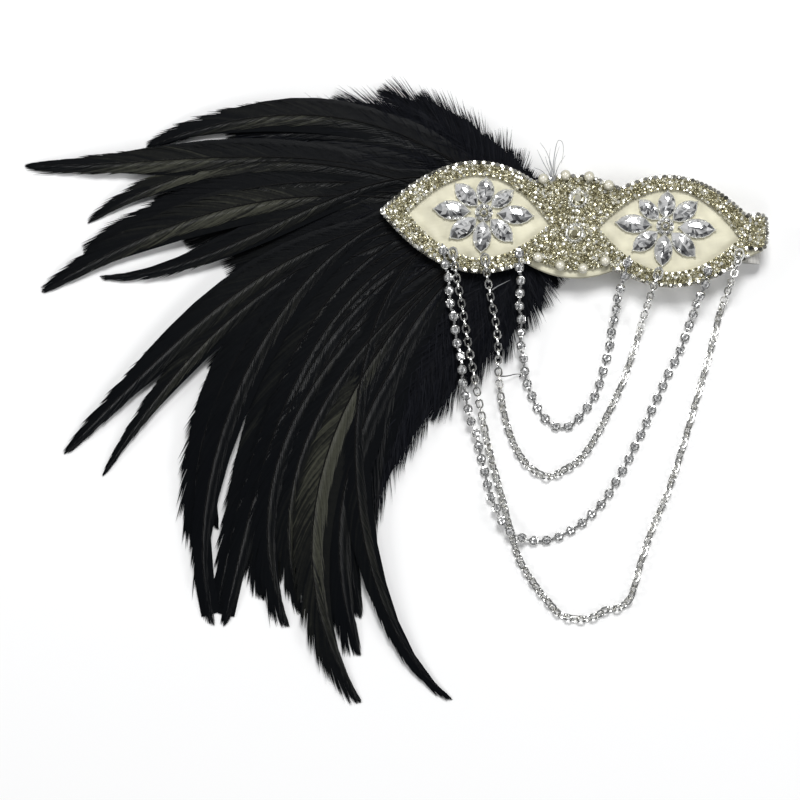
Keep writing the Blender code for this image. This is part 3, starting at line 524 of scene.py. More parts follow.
class PatternTree:
    """A Geometry Nodes tree with named inputs that ends in realized, dressed geometry."""

    def __init__(self, name: str) -> None:
        """Open the tree.

        Args:
            name: the tree's name.
        """
        self.group = bpy.data.node_groups.new(name, "GeometryNodeTree")
        self.sketch = Sketch(self.group)
        self.group.interface.new_socket("Geometry", in_out="INPUT", socket_type="NodeSocketGeometry")
        self.group.interface.new_socket("Geometry", in_out="OUTPUT", socket_type="NodeSocketGeometry")
        self.entry = self.sketch.add("NodeGroupInput")
        self.exit = self.sketch.add("NodeGroupOutput")

    def size(self, name: str, kind: str = "NodeSocketFloat") -> bpy.types.NodeSocket:
        """Add a named input and return its socket inside the tree."""
        self.group.interface.new_socket(name, in_out="INPUT", socket_type=kind)
        return self.entry.outputs[name]

    def carried(self, name: str, kind: str = "FLOAT") -> bpy.types.NodeSocket:
        """Return the value that each point carries under a name."""
        return self.sketch.add("GeometryNodeInputNamedAttribute", {"Name": name}, data_type=kind).outputs[0]

    def copies(self, points: bpy.types.NodeSocket, item: bpy.types.NodeSocket, rotation: bpy.types.NodeSocket,
               scale: bpy.types.NodeSocket) -> bpy.types.NodeSocket:
        """Set a copy of an item on each point.

        Args:
            points: where the copies go.
            item: the prototype's object.
            rotation: each copy's turn.
            scale: each copy's size.

        Returns:
            The copies, as instances.
        """
        info = self.sketch.add("GeometryNodeObjectInfo", {"Object": item})
        placed = self.sketch.add("GeometryNodeInstanceOnPoints", {
            "Points": points, "Instance": info.outputs["Geometry"], "Rotation": rotation, "Scale": scale})
        return placed.outputs[0]

    def toned(self, instances: bpy.types.NodeSocket, low: object, high: object,
              seed: object) -> bpy.types.NodeSocket:
        """Give each instance a tone by chance.

        Args:
            instances: the copies.
            low: the darkest tone, a value or a socket.
            high: the lightest tone, a value or a socket.
            seed: a value or a socket.

        Returns:
            The copies with their tones.
        """
        tone = self.sketch.add("FunctionNodeRandomValue", {2: low, 3: high, "Seed": seed}, data_type="FLOAT")
        marked = self.sketch.add("GeometryNodeStoreNamedAttribute", {
            "Geometry": instances, "Name": "tone", "Value": tone.outputs[1]},
            data_type="FLOAT", domain="INSTANCE")
        return marked.outputs[0]

    def close(self, instances: bpy.types.NodeSocket) -> None:
        """Realize the instances, give them the Material input and end the tree.

        Args:
            instances: the copies.
        """
        material = self.size("Material", "NodeSocketMaterial")
        real = self.sketch.add("GeometryNodeRealizeInstances", {"Geometry": instances})
        dressed = self.sketch.add("GeometryNodeSetMaterial", {
            "Geometry": real.outputs[0], "Material": material})
        self.group.links.new(dressed.outputs[0], self.exit.inputs["Geometry"])

    def lay(self, base: bpy.types.Object, name: str, values: dict[str, object]) -> bpy.types.Object:
        """Run the tree on a base object and keep its result as a plain mesh.

        Args:
            base: the object that holds the path, points or surface. It is removed.
            name: the new piece's name.
            values: the tree's inputs by name.

        Returns:
            The new piece.
        """
        modifier = base.modifiers.new(self.group.name, "NODES")
        modifier.node_group = self.group
        for item in self.group.interface.items_tree:
            if item.item_type == "SOCKET" and item.in_out == "INPUT" and item.name in values:
                modifier[item.identifier] = values[item.name]
        graph = bpy.context.evaluated_depsgraph_get()
        mesh = bpy.data.meshes.new_from_object(base.evaluated_get(graph))
        base.modifiers.remove(modifier)
        bpy.data.objects.remove(base, do_unlink=True)
        mesh.name = name
        return add_object(name, mesh)


def facing(tree: PatternTree, along: bpy.types.NodeSocket, up: object) -> bpy.types.NodeSocket:
    """Turn X along one vector and Z as near as it can to another.

    Args:
        tree: the tree to draw in.
        along: where X goes.
        up: where Z leans, a value or a socket.

    Returns:
        The rotation.
    """
    first = tree.sketch.add("FunctionNodeAlignRotationToVector", {"Vector": along}, axis="X")
    second = tree.sketch.add("FunctionNodeAlignRotationToVector", {
        "Rotation": first.outputs[0], "Vector": up}, axis="Z", pivot_axis="X")
    return second.outputs[0]


def items_along_path() -> PatternTree:
    """Return the tree that sets an item at each point of a path, turned along it."""
    tree = PatternTree("items_along_path")
    item = tree.size("Item", "NodeSocketObject")
    scale = tree.size("Size")
    first_turn = tree.size("First Turn")
    turn_step = tree.size("Turn Step")
    curve = tree.sketch.add("GeometryNodeMeshToCurve", {"Mesh": tree.entry.outputs["Geometry"]})
    tangent = tree.sketch.add("GeometryNodeInputTangent")
    index = tree.sketch.add("GeometryNodeInputIndex")
    alternate = tree.sketch.add("ShaderNodeMath", {0: index.outputs[0], 1: 2.0}, operation="MODULO")
    turn = tree.sketch.add("ShaderNodeMath", {0: alternate.outputs[0], 1: turn_step, 2: first_turn},
                           operation="MULTIPLY_ADD")
    total = tree.sketch.add("ShaderNodeMath", {0: turn.outputs[0], 1: tree.carried("lean")}, operation="ADD")
    spin = tree.sketch.add("ShaderNodeCombineXYZ", {"X": total.outputs[0]})
    roll = tree.sketch.add("FunctionNodeEulerToRotation", {0: spin.outputs[0]})
    rotation = tree.sketch.add("FunctionNodeRotateRotation", {
        "Rotation": facing(tree, tangent.outputs[0], (0.0, 0.0, 1.0)), "Rotate By": roll.outputs[0]},
        rotation_space="LOCAL")
    placed = tree.copies(curve.outputs[0], item, rotation.outputs[0], scale)
    tree.close(tree.toned(placed, 0.0, 1.0, 5))
    return tree


def stones_over_surface() -> PatternTree:
    """Return the tree that scatters one kind of stone over a surface, no two closer than a distance."""
    tree = PatternTree("stones_over_surface")
    item = tree.size("Item", "NodeSocketObject")
    apart = tree.size("Apart")
    smallest = tree.size("Smallest")
    largest = tree.size("Largest")
    lean = tree.size("Lean")
    low_tone = tree.size("Low Tone")
    high_tone = tree.size("High Tone")
    seed = tree.size("Seed", "NodeSocketInt")
    points = tree.sketch.add("GeometryNodeDistributePointsOnFaces", {
        "Mesh": tree.entry.outputs["Geometry"], "Distance Min": apart, "Density Max": 4.0e6, "Seed": seed},
        distribute_method="POISSON")
    low = tree.sketch.add("ShaderNodeMath", {0: lean, 1: -1.0}, operation="MULTIPLY")
    least = tree.sketch.add("ShaderNodeCombineXYZ", {"X": low.outputs[0], "Y": low.outputs[0], "Z": -math.pi})
    most = tree.sketch.add("ShaderNodeCombineXYZ", {"X": lean, "Y": lean, "Z": math.pi})
    turn = tree.sketch.add("FunctionNodeRandomValue", {0: least.outputs[0], 1: most.outputs[0], "Seed": seed},
                           data_type="FLOAT_VECTOR")
    euler = tree.sketch.add("FunctionNodeEulerToRotation", {0: turn.outputs[0]})
    size = tree.sketch.add("FunctionNodeRandomValue", {2: smallest, 3: largest, "Seed": seed},
                           data_type="FLOAT")
    placed = tree.copies(points.outputs["Points"], item, euler.outputs[0], size.outputs[1])
    tree.close(tree.toned(placed, low_tone, high_tone, seed))
    return tree


def barbs_on_points() -> PatternTree:
    """Return the tree that grows a barb from each point, with the way, length and girth that it carries."""
    tree = PatternTree("barbs_on_points")
    item = tree.size("Item", "NodeSocketObject")
    girth = tree.carried("girth")
    scale = tree.sketch.add("ShaderNodeCombineXYZ", {"X": tree.carried("reach"), "Y": girth, "Z": girth})
    points = tree.sketch.add("GeometryNodeMeshToPoints", {"Mesh": tree.entry.outputs["Geometry"]})
    turn = facing(tree, tree.carried("way", "FLOAT_VECTOR"), tree.carried("face", "FLOAT_VECTOR"))
    tree.close(tree.copies(points.outputs[0], item, turn, scale.outputs[0]))
    return tree


class Pile:
    """Vertices and faces gathered from many small shapes, each face with its finish."""

    def __init__(self) -> None:
        """Start empty."""
        self.points: list[tuple[float, float, float]] = []
        self.faces: list[tuple[int, ...]] = []
        self.finishes: list[int] = []
        self.tones: list[float] = []
        self.used: list[Finish] = []

    @classmethod
    def of(cls, points: list, faces: list, finish: Finish, tones: list[float] | None = None) -> Pile:
        """Return a pile of one shape."""
        pile = cls()
        pile.add(points, faces, finish, tones)
        return pile

    def add(self, points: list, faces: list, finish: Finish, tones: list[float] | None = None) -> None:
        """Add a shape.

        Args:
            points: its vertices.
            faces: its faces, as numbers into points.
            finish: what it is made of.
            tones: a tone for each face, or none for a middle tone.
        """
        if finish not in self.used:
            self.used.append(finish)
        start = len(self.points)
        self.points.extend(tuple(point) for point in points)
        self.faces.extend(tuple(start + i for i in face) for face in faces)
        self.finishes.extend([self.used.index(finish)] * len(faces))
        self.tones.extend(tones if tones is not None else [0.5] * len(faces))

    def build(self, name: str, smooth: float | None = None) -> bpy.types.Object:
        """Make the object.

        Args:
            name: its name.
            smooth: shade smooth over edges flatter than this many degrees, or flat throughout if none.

        Returns:
            The object, with its faces turned outwards.
        """
        mesh = bpy.data.meshes.new(name)
        mesh.from_pydata(self.points, [], self.faces)
        for finish in self.used:
            mesh.materials.append(finish.make())
        mesh.polygons.foreach_set("material_index", self.finishes)
        for name_of_layer in ("tone", "facet"):
            mesh.attributes.new(name_of_layer, "FLOAT", "FACE").data.foreach_set("value", self.tones)
        bm = bmesh.new()
        bm.from_mesh(mesh)
        bmesh.ops.recalc_face_normals(bm, faces=bm.faces)
        bm.to_mesh(mesh)
        bm.free()
        if smooth is not None:
            mesh.shade_smooth()
            mesh.set_sharp_from_angle(angle=math.radians(smooth))
        return add_object(name, mesh)


def loft(rings: list[list[tuple[float, float, float]]]) -> tuple[list, list]:
    """Lay a closed skin over rings of equal count.

    Args:
        rings: from one end of the skin to the other.

    Returns:
        Its points and faces.
    """
    points = [point for ring in rings for point in ring]
    count = len(rings[0])
    faces = []
    for low in range(0, (len(rings) - 1) * count, count):
        high = low + count
        for i in range(count):
            j = (i + 1) % count
            faces.append((low + i, low + j, high + j, high + i))
    faces.append(tuple(range(count)))
    last = (len(rings) - 1) * count
    faces.append(tuple(last + i for i in range(count)))
    return points, faces


def circle(radius: float, z: float, sides: int, turn: float = 0.0,
           centre: tuple[float, float] = (0.0, 0.0)) -> list[tuple[float, float, float]]:
    """Return a level circle's points."""
    angles = [2 * math.pi * i / sides + turn for i in range(sides)]
    return [(centre[0] + radius * math.cos(a), centre[1] + radius * math.sin(a), z) for a in angles]


def smooth_route(points: tuple, step: float) -> np.ndarray:
    """Return points about a step apart on a smooth curve through chosen ones.

    Args:
        points: chosen points in millimetres.
        step: distance between the results, in metres.

    Returns:
        The points in metres, one in each row.
    """
    knots = np.array(points, float) * MM
    knots = np.vstack([2 * knots[0] - knots[1], knots, 2 * knots[-1] - knots[-2]])
    shares = np.arange(12)[:, None] / 12
    fine = []
    for a, b, c, d in zip(knots, knots[1:], knots[2:], knots[3:]):
        fine.append(0.5 * (2 * b + (c - a) * shares + (2 * a - 5 * b + 4 * c - d) * shares ** 2
                           + (3 * b - a - 3 * c + d) * shares ** 3))
    fine = np.vstack([*fine, knots[-2:-1]])
    lengths = np.concatenate([[0.0], np.cumsum(np.linalg.norm(np.diff(fine, axis=0), axis=1))])
    targets = np.linspace(0.0, lengths[-1], max(2, round(lengths[-1] / step)) + 1)
    return np.column_stack([np.interp(targets, lengths, fine[:, i]) for i in range(3)])


def path_object(points: np.ndarray, lean: np.ndarray | None = None) -> bpy.types.Object:
    """Make a path of edges through points.

    Args:
        points: one in each row.
        lean: a turn about the path at each, or none.

    Returns:
        The path's object.
    """
    mesh = bpy.data.meshes.new("path")
    edges = [(i, i + 1) for i in range(len(points) - 1)]
    mesh.from_pydata([tuple(point) for point in points], edges, [])
    layer = mesh.attributes.new("lean", "FLOAT", "POINT")
    layer.data.foreach_set("value", np.zeros(len(points)) if lean is None else lean)
    return add_object("path", mesh)


def set_along(along: PatternTree, item: bpy.types.Object, path: bpy.types.Object, name: str, size: float,
              turns: tuple[float, float], finish: Finish) -> bpy.types.Object:
    """Set copies of an item along a path.

    Args:
        along: the tree that follows a path.
        item: the prototype.
        path: where the copies go. It is used up.
        name: the new piece's name.
        size: of each copy.
        turns: the first copy's turn about the path, and what every second copy adds to it.
        finish: what they are made of.

    Returns:
        The new piece.
    """
    return along.lay(path, name, {
        "Item": item, "Size": size, "First Turn": turns[0], "Turn Step": turns[1], "Material": finish.make()})


def read_profile(shares: np.ndarray, table: tuple[tuple[float, float], ...]) -> np.ndarray:
    """Return the value at each share of the way, from a table of share and value."""
    places, values = zip(*table)
    return np.interp(shares, places, values)


def from_photo(x: float, y: float) -> tuple[float, float]:
    """Return the place on the panel's plane, in metres, under a pixel of the photograph."""
    across, up = (x - PANEL_PX[0]) * METRES_PER_PX, (PANEL_PX[1] - y) * METRES_PER_PX
    cos, sin = math.cos(PANEL_TILT), math.sin(PANEL_TILT)
    return across * cos - up * sin, across * sin + up * cos


def lobe_edge(x: np.ndarray, apex: float) -> np.ndarray:
    """Return the height of a lobe's edge."""
    share = (np.abs(x) - LOBE_X) / (HALF_LENGTH - LOBE_X)
    return apex + (TIP_Y - apex) * share ** 2


def top_edge(x: np.ndarray) -> np.ndarray:
    """Return the panel's upper edge, without the block at its end."""
    centre = CENTRE_TOP * (1.0 - CENTRE_DROP_TOP * (x / CENTRE_HALF) ** 2)
    return np.maximum(lobe_edge(x, LOBE_TOP), centre)


def bottom_edge(x: np.ndarray) -> np.ndarray:
    """Return the panel's lower edge, without the block at its end."""
    centre = CENTRE_BOTTOM * (1.0 - CENTRE_DROP_BOTTOM * (x / CENTRE_HALF) ** 2)
    return np.minimum(lobe_edge(x, LOBE_BOTTOM), centre)


def window_edge(x: np.ndarray, apex: float) -> np.ndarray:
    """Return the upper or lower edge of a satin window."""
    share = (np.abs(x) - LOBE_X) / (WINDOW_OUTER_X - LOBE_X)
    return apex + (TIP_Y - apex) * share ** 2


def keep(piece: bpy.types.Object, slot: str, *nodes: str) -> bpy.types.Object:
    """Hang a finished piece on the frame.

    Args:
        piece: the piece.
        slot: not used.
        nodes: the solids it stands for.

    Returns:
        The piece.
    """
    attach(piece, BODY)
    if nodes:
        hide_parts(*nodes)
    lowest = min(vertex.co.z for vertex in piece.data.vertices) / MM
    LOG.info("%s: %d faces, lowest at %.2f mm", piece.name, len(piece.data.polygons), lowest)
    return piece


@dataclass(frozen=True)
class Lamp:
    """A square soft box: where it hangs, its side and its power in watts."""

    name: str
    place: tuple[float, float, float]
    side: float
    power: float


@dataclass
class Studio:
    """Plain pale floor, soft light from above and the camera of the photograph."""

    camera_height: float = 2.4
    focus_z: float = 0.013
    sensor: float = 36.0
    far: float = 20.0
    floor_half: float = 6.0
    floor_z: float = -0.00005
    floor_colour: tuple[float, float, float] = (0.92, 0.92, 0.92)
    sky_colour: tuple[float, float, float] = (0.95, 0.97, 1.0)
    sky_strength: float = 0.14
    aim: tuple[float, float, float] = (-0.09, -0.10, 0.0)
    lamps: tuple[Lamp, ...] = (
        Lamp("key", (0.00, 1.15, 2.00), 0.7, 42.0),
        Lamp("left", (-1.90, 0.20, 1.30), 0.8, 13.0),
        Lamp("right", (1.75, -0.20, 1.30), 0.8, 12.0),
        Lamp("low", (-0.10, -1.90, 1.40), 0.8, 8.5),
    )

    def build(self) -> None:
        """Make the floor, lights, sky and camera."""
        self.floor()
        self.lights()
        self.camera()
        view = bpy.context.scene.view_settings
        view.view_transform = "Standard"
        view.look = "None"

    def floor(self) -> None:
        """Lay the floor."""
        half, z = self.floor_half, self.floor_z
        corners = [(-half, -half, z), (half, -half, z), (half, half, z), (-half, half, z)]
        paper = Finish("floor_paper", self.floor_colour, roughness=0.9)
        Pile.of(corners, [(0, 1, 2, 3)], paper).build("floor")

    def lights(self) -> None:
        """Hang the soft boxes and set the sky."""
        for lamp in self.lamps:
            light = bpy.data.lights.new(lamp.name, "AREA")
            light.size = lamp.side
            light.energy = lamp.power
            box = add_object(lamp.name, light)
            box.location = lamp.place
            way = Vector(self.aim) - Vector(lamp.place)
            box.rotation_euler = way.to_track_quat("-Z", "Y").to_euler()
        world = bpy.data.worlds.new("sky")
        bpy.context.scene.world = world
        world.use_nodes = True
        sky = world.node_tree.nodes["Background"]
        sky.inputs["Color"].default_value = (*self.sky_colour, 1.0)
        sky.inputs["Strength"].default_value = self.sky_strength

    def camera(self) -> None:
        """Set the camera straight above, turned as the photograph is."""
        data = bpy.data.cameras.new("photo_camera")
        data.sensor_width = self.sensor
        distance = self.camera_height - self.focus_z
        data.lens = self.sensor * distance / (PHOTO_SIDE_PX * METRES_PER_PX)
        data.clip_end = self.far
        camera = add_object("photo_camera", data)
        camera.location = (*from_photo(PHOTO_CENTRE_PX, PHOTO_CENTRE_PX), self.camera_height)
        camera.rotation_euler = (0.0, 0.0, PANEL_TILT)
        bpy.context.scene.camera = camera


@dataclass
class Panel:
    """Felt base and satin face."""

    columns: int = 180
    rows: int = 26
    satin_inset: float = 0.0006
    pucker: float = 0.00022
    pucker_margin: float = 0.004
    round_off: float = 0.0005
    round_width: float = 0.0012
    least_half: float = 1e-5

    def edges(self, x: np.ndarray, inset: float) -> tuple[np.ndarray, np.ndarray]:
        """Return the panel's edges, with the block at its right-hand end.

        Args:
            x: places along the panel.
            inset: how far to stay inside.

        Returns:
            The lower and the upper edge at each x.
        """
        block = [TAB_START_X, TAB_CORNER_X, HALF_LENGTH]
        start = float(bottom_edge(np.array(TAB_START_X)))
        low = np.where(x > TAB_START_X, np.interp(x, block, [start, TAB_BOTTOM, TIP_Y]), bottom_edge(x))
        high = np.where(x > TAB_START_X, np.interp(x, block, [TAB_TOP, TAB_TOP, TIP_Y]), top_edge(x))
        middle = (low + high) / 2
        least = self.least_half
        return np.minimum(low + inset, middle - least), np.maximum(high - inset, middle + least)

    @staticmethod
    def ripple(x: np.ndarray, y: np.ndarray) -> np.ndarray:
        """Return the puckers' shape: two crossed slow waves and a finer one over them."""
        slow = np.sin(x * 310 + 1.3 * np.sin(y * 420)) * np.cos(y * 360 + 0.8 * np.sin(x * 270))
        return slow + 0.5 * np.sin(x * 820 + y * 500)

    def sheet(self, name: str, finish: Finish, bottom: float, top: float, inset: float,
              wave: float) -> bpy.types.Object:
        """Make one layer as a fine grid with a rounded edge.

        Args:
            name: the piece's name.
            finish: its cloth.
            bottom: its lower face.
            top: its upper face.
            inset: how far it stays inside the panel's outline.
            wave: height of its puckers.

        Returns:
            The layer as one closed mesh.
        """
        x = np.linspace(-HALF_LENGTH + inset, HALF_LENGTH - inset, self.columns + 1)
        low, high = self.edges(x, inset)
        shares = 0.5 - 0.5 * np.cos(np.linspace(0.0, math.pi, self.rows + 1))
        y = low[:, None] + (high - low)[:, None] * shares[None, :]
        grid_x = np.repeat(x[:, None], self.rows + 1, axis=1)
        edge = np.minimum(y - low[:, None], high[:, None] - y)
        edge = np.minimum(edge, HALF_LENGTH - np.abs(grid_x))
        fall = np.clip(1.0 - edge / self.round_width, 0.0, 1.0) ** 2
        rise = wave * self.ripple(grid_x, y) * np.clip(edge / self.pucker_margin, 0.0, 1.0)
        upper = top + rise - self.round_off * fall
        count = (self.columns + 1) * (self.rows + 1)
        points = np.concatenate([
            np.stack([grid_x, y, upper], axis=-1).reshape(-1, 3),
            np.stack([grid_x, y, np.full_like(y, bottom)], axis=-1).reshape(-1, 3)])
        faces = []
        width = self.rows + 1
        for i in range(self.columns):
            for j in range(self.rows):
                a, b = i * width + j, (i + 1) * width + j
                faces.append((a, b, b + 1, a + 1))
                faces.append((count + a, count + a + 1, count + b + 1, count + b))
            for j in (0, self.rows):
                a, b = i * width + j, (i + 1) * width + j
                faces.append((a, b, count + b, count + a) if j else (b, a, count + a, count + b))
        for i in (0, self.columns):
            for j in range(self.rows):
                a = i * width + j
                side = (a, a + 1, count + a + 1, count + a) if i else (a + 1, a, count + a, count + a + 1)
                faces.append(side)
        return Pile.of(points.tolist(), faces, finish).build(name, 50.0)

    def build(self) -> None:
        """Make and keep both layers."""
        low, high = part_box("backing")
        keep(self.sheet("felt_base", FELT, low.z, high.z, 0.0, 0.0), "felt", "backing")
        low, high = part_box("satin_front")
        satin = self.sheet("satin_face", SATIN, low.z, high.z, self.satin_inset, self.pucker)
        keep(satin, "satin", "satin_front")


@dataclass
class SmallStones:
    """The prototypes that are set by the hundred: faceted stones, beads, links, cups and barbs."""

    sides: int = 8
    bead_sides: int = 7
    made: list[bpy.types.Object] = field(default_factory=list)

    def faceted(self, name: str, finish: Finish) -> bpy.types.Object:
        """Return a stone one unit across: foot, girdle and table."""
        rings = [circle(radius, z, self.sides, turn) for radius, z, turn in (
            (0.34, -0.20, 0.0), (0.50, 0.02, 0.0), (0.46, 0.14, 0.2), (0.25, 0.34, math.pi / self.sides))]
        return self.store(name, Pile.of(*loft(rings), finish))

    def bead(self, name: str, finish: Finish) -> bpy.types.Object:
        """Return a round bead one unit across."""
        rings = [circle(0.5 * math.sin(polar), -0.5 * math.cos(polar), self.bead_sides, 0.4 * i)
                 for i, polar in enumerate((0.5, 1.1, 1.7, 2.3, 2.75))]
        return self.store(name, Pile.of(*loft(rings), finish), 60.0)

    def store(self, name: str, pile: Pile, smooth: float | None = None) -> bpy.types.Object:
        """Make a prototype and remember it for removal.

        Args:
            name: its name.
            pile: its shapes.
            smooth: shade smooth over edges flatter than this many degrees, or flat throughout if none.

        Returns:
            The prototype, without tones, because each copy gets its own.
        """
        piece = pile.build(name, smooth)
        piece.data.attributes.remove(piece.data.attributes["tone"])
        self.made.append(piece)
        return piece

    def clear(self) -> None:
        """Remove the prototypes from the scene."""
        for piece in self.made:
            bpy.data.objects.remove(piece, do_unlink=True)
        self.made.clear()


@dataclass(frozen=True)
class Scatter:
    """One kind of stone in the crust: how close it lies, its least and greatest size and tone."""

    kind: Stone
    apart: float
    sizes: tuple[float, float]
    tones: tuple[float, float]


@dataclass(frozen=True)
class Row:
    """A row of equal stones: their size, their distance, how deep they sit and their finish."""

    size: float
    pitch: float
    sink: float
    finish: Finish


@dataclass
class Crust:
    """Fields of small stones and beads round the windows and over the centre."""

    nodes: tuple[str, ...] = ("border_left", "border_right", "centre_crust", "end_tab")
    kinds: tuple[Scatter, ...] = (
        Scatter(Stone.FACETED, 0.00150, (0.0014, 0.0022), (0.10, 1.00)),
        Scatter(Stone.BEAD, 0.00125, (0.0008, 0.0014), (0.00, 0.85)),
    )
    lean: float = 0.55
    steepest: float = 0.25
    outline: Row = Row(0.0027, 0.0025, 0.0004, EDGE_STONES)
    window: Row = Row(0.0017, 0.0018, 0.0002, STONES)
    row_turns: tuple[float, float] = (0.25, -0.5)
    row_start: float = 0.023
    row_ends: tuple[tuple[int, str, float], ...] = ((-1, "left", 0.1035), (1, "right", 0.0945))
    window_inset: float = 0.001
    centre_half: float = 0.0215
    edge_inset: float = 0.0010
    upper_inset: float = 0.0011

    def ground(self, name: str) -> bpy.types.Object:
        """Copy a solid's upper faces, merged, to set stones on.

        Args:
            name: its node.

        Returns:
            The faces as an object.
        """
        bm = bmesh.new()
        bm.from_mesh(bpy.data.objects[name].data)
        bmesh.ops.remove_doubles(bm, verts=bm.verts, dist=1e-6)
        bm.normal_update()
        sides = [face for face in bm.faces if face.normal.z < self.steepest]
        bmesh.ops.delete(bm, geom=sides, context="FACES")
        mesh = bpy.data.meshes.new("ground")
        bm.to_mesh(mesh)
        bm.free()
        return add_object("ground", mesh)

    def build(self, stones: SmallStones, scatter: PatternTree, along: PatternTree) -> None:
        """Set the stones, the beads and the outer rows.

        Args:
            stones: maker of prototypes.
            scatter: the tree that scatters over a surface.
            along: the tree that follows a path.
        """
        cut = stones.faceted("cut_stone", STONES)
        items = {Stone.FACETED: cut, Stone.BEAD: stones.bead("seed_bead", STONES)}
        for number, name in enumerate(self.nodes):
            solid = bpy.data.objects[name].data
            solid.materials.clear()
            solid.materials.append(GRIT.make())
            for part in self.kinds:
                word = part.kind.value
                piece = scatter.lay(self.ground(name), f"{name}_{word}", {
                    "Item": items[part.kind], "Apart": part.apart, "Smallest": part.sizes[0],
                    "Largest": part.sizes[1], "Lean": self.lean, "Low Tone": part.tones[0],
                    "High Tone": part.tones[1], "Seed": 11 * number + len(word), "Material": STONES.make()})
                keep(piece, "crust")
        self.rows(cut, along)

    def rows(self, cut: bpy.types.Object, along: PatternTree) -> None:
        """Set rows of stones along the panel's outline and round the windows.

        Args:
            cut: the prototype stone.
            along: the tree that follows a path.
        """
        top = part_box("border_left")[1].z

        def lay(name: str, row: Row, x: np.ndarray, y: np.ndarray) -> None:
            """Set one row along a line on the panel's face."""
            line = np.column_stack([x, y, np.full_like(x, top - row.sink)]) / MM
            path = path_object(smooth_route(tuple(map(tuple, line)), row.pitch))
            keep(set_along(along, cut, path, name, row.size, self.row_turns, row.finish), "crust")

        whole = np.linspace(0.0, 1.0, 60)
        first, last = WINDOW_INNER_X + self.window_inset, WINDOW_OUTER_X - self.window_inset
        for side, word, end in self.row_ends:
            outer = side * (self.row_start + (end - self.row_start) * whole)
            inner = side * (first + (last - first) * whole)
            lay(f"edge_row_upper_{word}", self.outline, outer, top_edge(outer) - self.upper_inset)
            lay(f"edge_row_lower_{word}", self.outline, outer, bottom_edge(outer) + self.edge_inset)
            lay(f"window_row_upper_{word}", self.window, inner, window_edge(inner, WINDOW_TOP))
            lay(f"window_row_lower_{word}", self.window, inner, window_edge(inner, WINDOW_BOTTOM))
        centre = np.linspace(-self.centre_half, self.centre_half, 30)
        lay("edge_row_centre", self.outline, centre, top_edge(centre) - self.edge_inset)
        tab = np.array([TAB_START_X, TAB_CORNER_X, HALF_LENGTH, TAB_CORNER_X, TAB_START_X])
        tab_y = np.array([TAB_TOP, TAB_TOP, TIP_Y, TAB_BOTTOM, TAB_BOTTOM])
        inwards = -np.sign(tab_y - (TAB_TOP + TAB_BOTTOM) / 2)
        lay("edge_row_tab", self.outline, tab - self.edge_inset, tab_y + self.edge_inset * inwards)


@dataclass(frozen=True)
class Place:
    """A place and a turn on the panel's plane."""

    centre: tuple[float, float]
    turn: float

    def put(self, points: list) -> list[tuple[float, float, float]]:
        """Return points turned and moved to the place."""
        cos, sin = math.cos(self.turn), math.sin(self.turn)
        across, up = self.centre
        return [(across + x * cos - y * sin, up + x * sin + y * cos, z) for x, y, z in points]


